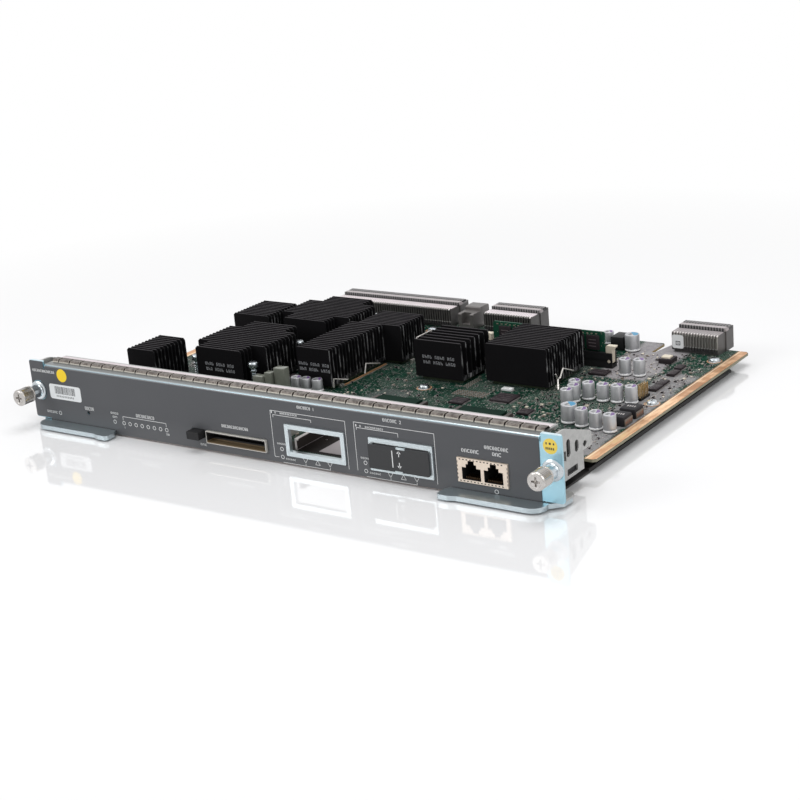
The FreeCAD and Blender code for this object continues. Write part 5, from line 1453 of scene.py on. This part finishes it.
for (x0, x1, step_x), (y0, y1, step_y), size, turn, slot in BANKS:
    for i in range(int((x1 - x0) / step_x) + 1):
        for j in range(int((y1 - y0) / step_y) + 1):
            place_part(x0 + step_x * i, y0 + step_y * j, size, turn, slot)
for k in range(9):
    place_part(74.0 + 1.9 * k, 103.5, (1.6, 1.1, 0.5), True, 3)
# Chip components strewn over the board, more densely on its busy right side.
TRIES, MOST_PARTS = 9000, 1600
GRID = 0.8
BUSY_SIDE = (100, 174), (48, 243)
REST_OF_BOARD = (-172, 122), (24, 243)
for _ in range(TRIES):
    across, along = BUSY_SIDE if chance.random() < 0.55 else REST_OF_BOARD
    x, y = chance.uniform(*across), chance.uniform(*along)
    if len(taken) < MOST_PARTS:
        place_part(round(x / GRID) * GRID, round(y / GRID) * GRID, chance.choice(SIZES),
                   chance.random() < 0.5, chance.choice((0, 1, 1, 1, 2)))
small.piece("chip_components", MODULE, "chip_black", tan_chip, package, cream, tin, smooth=30.0)


# ---------------------------------------------------------------- stage, light, camera
WHITE = (1.0, 1.0, 1.0)
FLOOR_MIDDLE = 120.0
FLOOR_DROP = 0.0003


def stage_floor():
    """Pale glossy floor that fades into the white backdrop."""
    recipe = Recipe("pale floor", roughness=0.05, ior=1.9)
    recipe.paint(base_color=(0.86, 0.86, 0.87))
    x, y, _ = recipe.axes()
    square = x * x + (y - FLOOR_MIDDLE) * (y - FLOOR_MIDDLE)
    fade = square.maths("SQRT", square).ramp(310.0, 640.0)
    seen = recipe.node("ShaderNodeLightPath", output="Is Camera Ray")
    white = recipe.node("ShaderNodeEmission", None, {"Color": WHITE})
    lacquer = Term(recipe, recipe.surface.outputs[0])
    blend = recipe.node("ShaderNodeMixShader", None, {0: fade * seen, 1: lacquer, 2: white})
    recipe.feed(recipe.output.inputs[0], blend)
    work = bmesh.new()
    bmesh.ops.create_grid(work, x_segments=1, y_segments=1, size=6.0)
    mesh = bpy.data.meshes.new("floor")
    work.to_mesh(mesh)
    work.free()
    mesh.transform(Matrix.Translation((0, 0, -FLOOR_DROP)))
    mesh.materials.append(recipe.material)
    made = bpy.data.objects.new("floor", mesh)
    bpy.context.scene.collection.objects.link(made)


def soft_world(ambient):
    """Even light all round; the backdrop itself shows white, in metal and clear parts too."""
    world = bpy.data.worlds.new("studio")
    world.use_nodes = True
    nodes = Nodes(world.node_tree)
    seen, mirrored, through = [nodes.node("ShaderNodeLightPath", output="Is " + kind + " Ray")
                               for kind in ("Camera", "Glossy", "Transmission")]
    strength = nodes.node("ShaderNodeMapRange", None, {
        "Value": seen.larger(mirrored).larger(through), "To Min": ambient, "To Max": 1.0})
    sky = nodes.node("ShaderNodeBackground", None, {"Color": WHITE, "Strength": strength})
    nodes.feed(nodes.tree.nodes.new("ShaderNodeOutputWorld").inputs[0], sky)
    bpy.context.scene.world = world


def soft_lamp(name, place, target, size, watts):
    """Round soft lamp aimed at a spot, in metres."""
    data = bpy.data.lights.new(name, "AREA")
    data.shape = "DISK"
    data.size = size
    data.energy = watts
    lamp = bpy.data.objects.new(name, data)
    aim = Vector(target) - Vector(place)
    lamp.matrix_world = Matrix.Translation(place) @ aim.to_track_quat("-Z", "Y").to_matrix().to_4x4()
    bpy.context.scene.collection.objects.link(lamp)


stage_floor()
soft_world(0.55)
soft_lamp("overhead", (0.1, 0.1, 1.3), (0.0, 0.12, 0.0), 1.0, 9.0)
soft_lamp("front_left", (-0.9, -1.0, 0.8), (0.0, 0.05, 0.0), 0.8, 6.0)
soft_lamp("right", (1.2, -0.3, 0.7), (0.1, 0.1, 0.0), 0.7, 3.0)

camera_data = bpy.data.cameras.new("view")
camera_data.lens = 76.5
camera_data.sensor_width = 36.0
camera_data.clip_start = 0.01
camera = bpy.data.objects.new("view", camera_data)
RIGHT = (0.8217, 0.5638, -0.0838)
DOWN = (0.1135, -0.3060, -0.9452)
AHEAD = (-0.5586, 0.7671, -0.3154)
EYE = (0.6123, -0.7100, 0.3417)
camera.matrix_world = Matrix([
    (RIGHT[i], -DOWN[i], -AHEAD[i], EYE[i]) for i in range(3)] + [(0, 0, 0, 1)])
bpy.context.scene.collection.objects.link(camera)
bpy.context.scene.camera = camera
bpy.context.scene.view_settings.view_transform = "Standard"
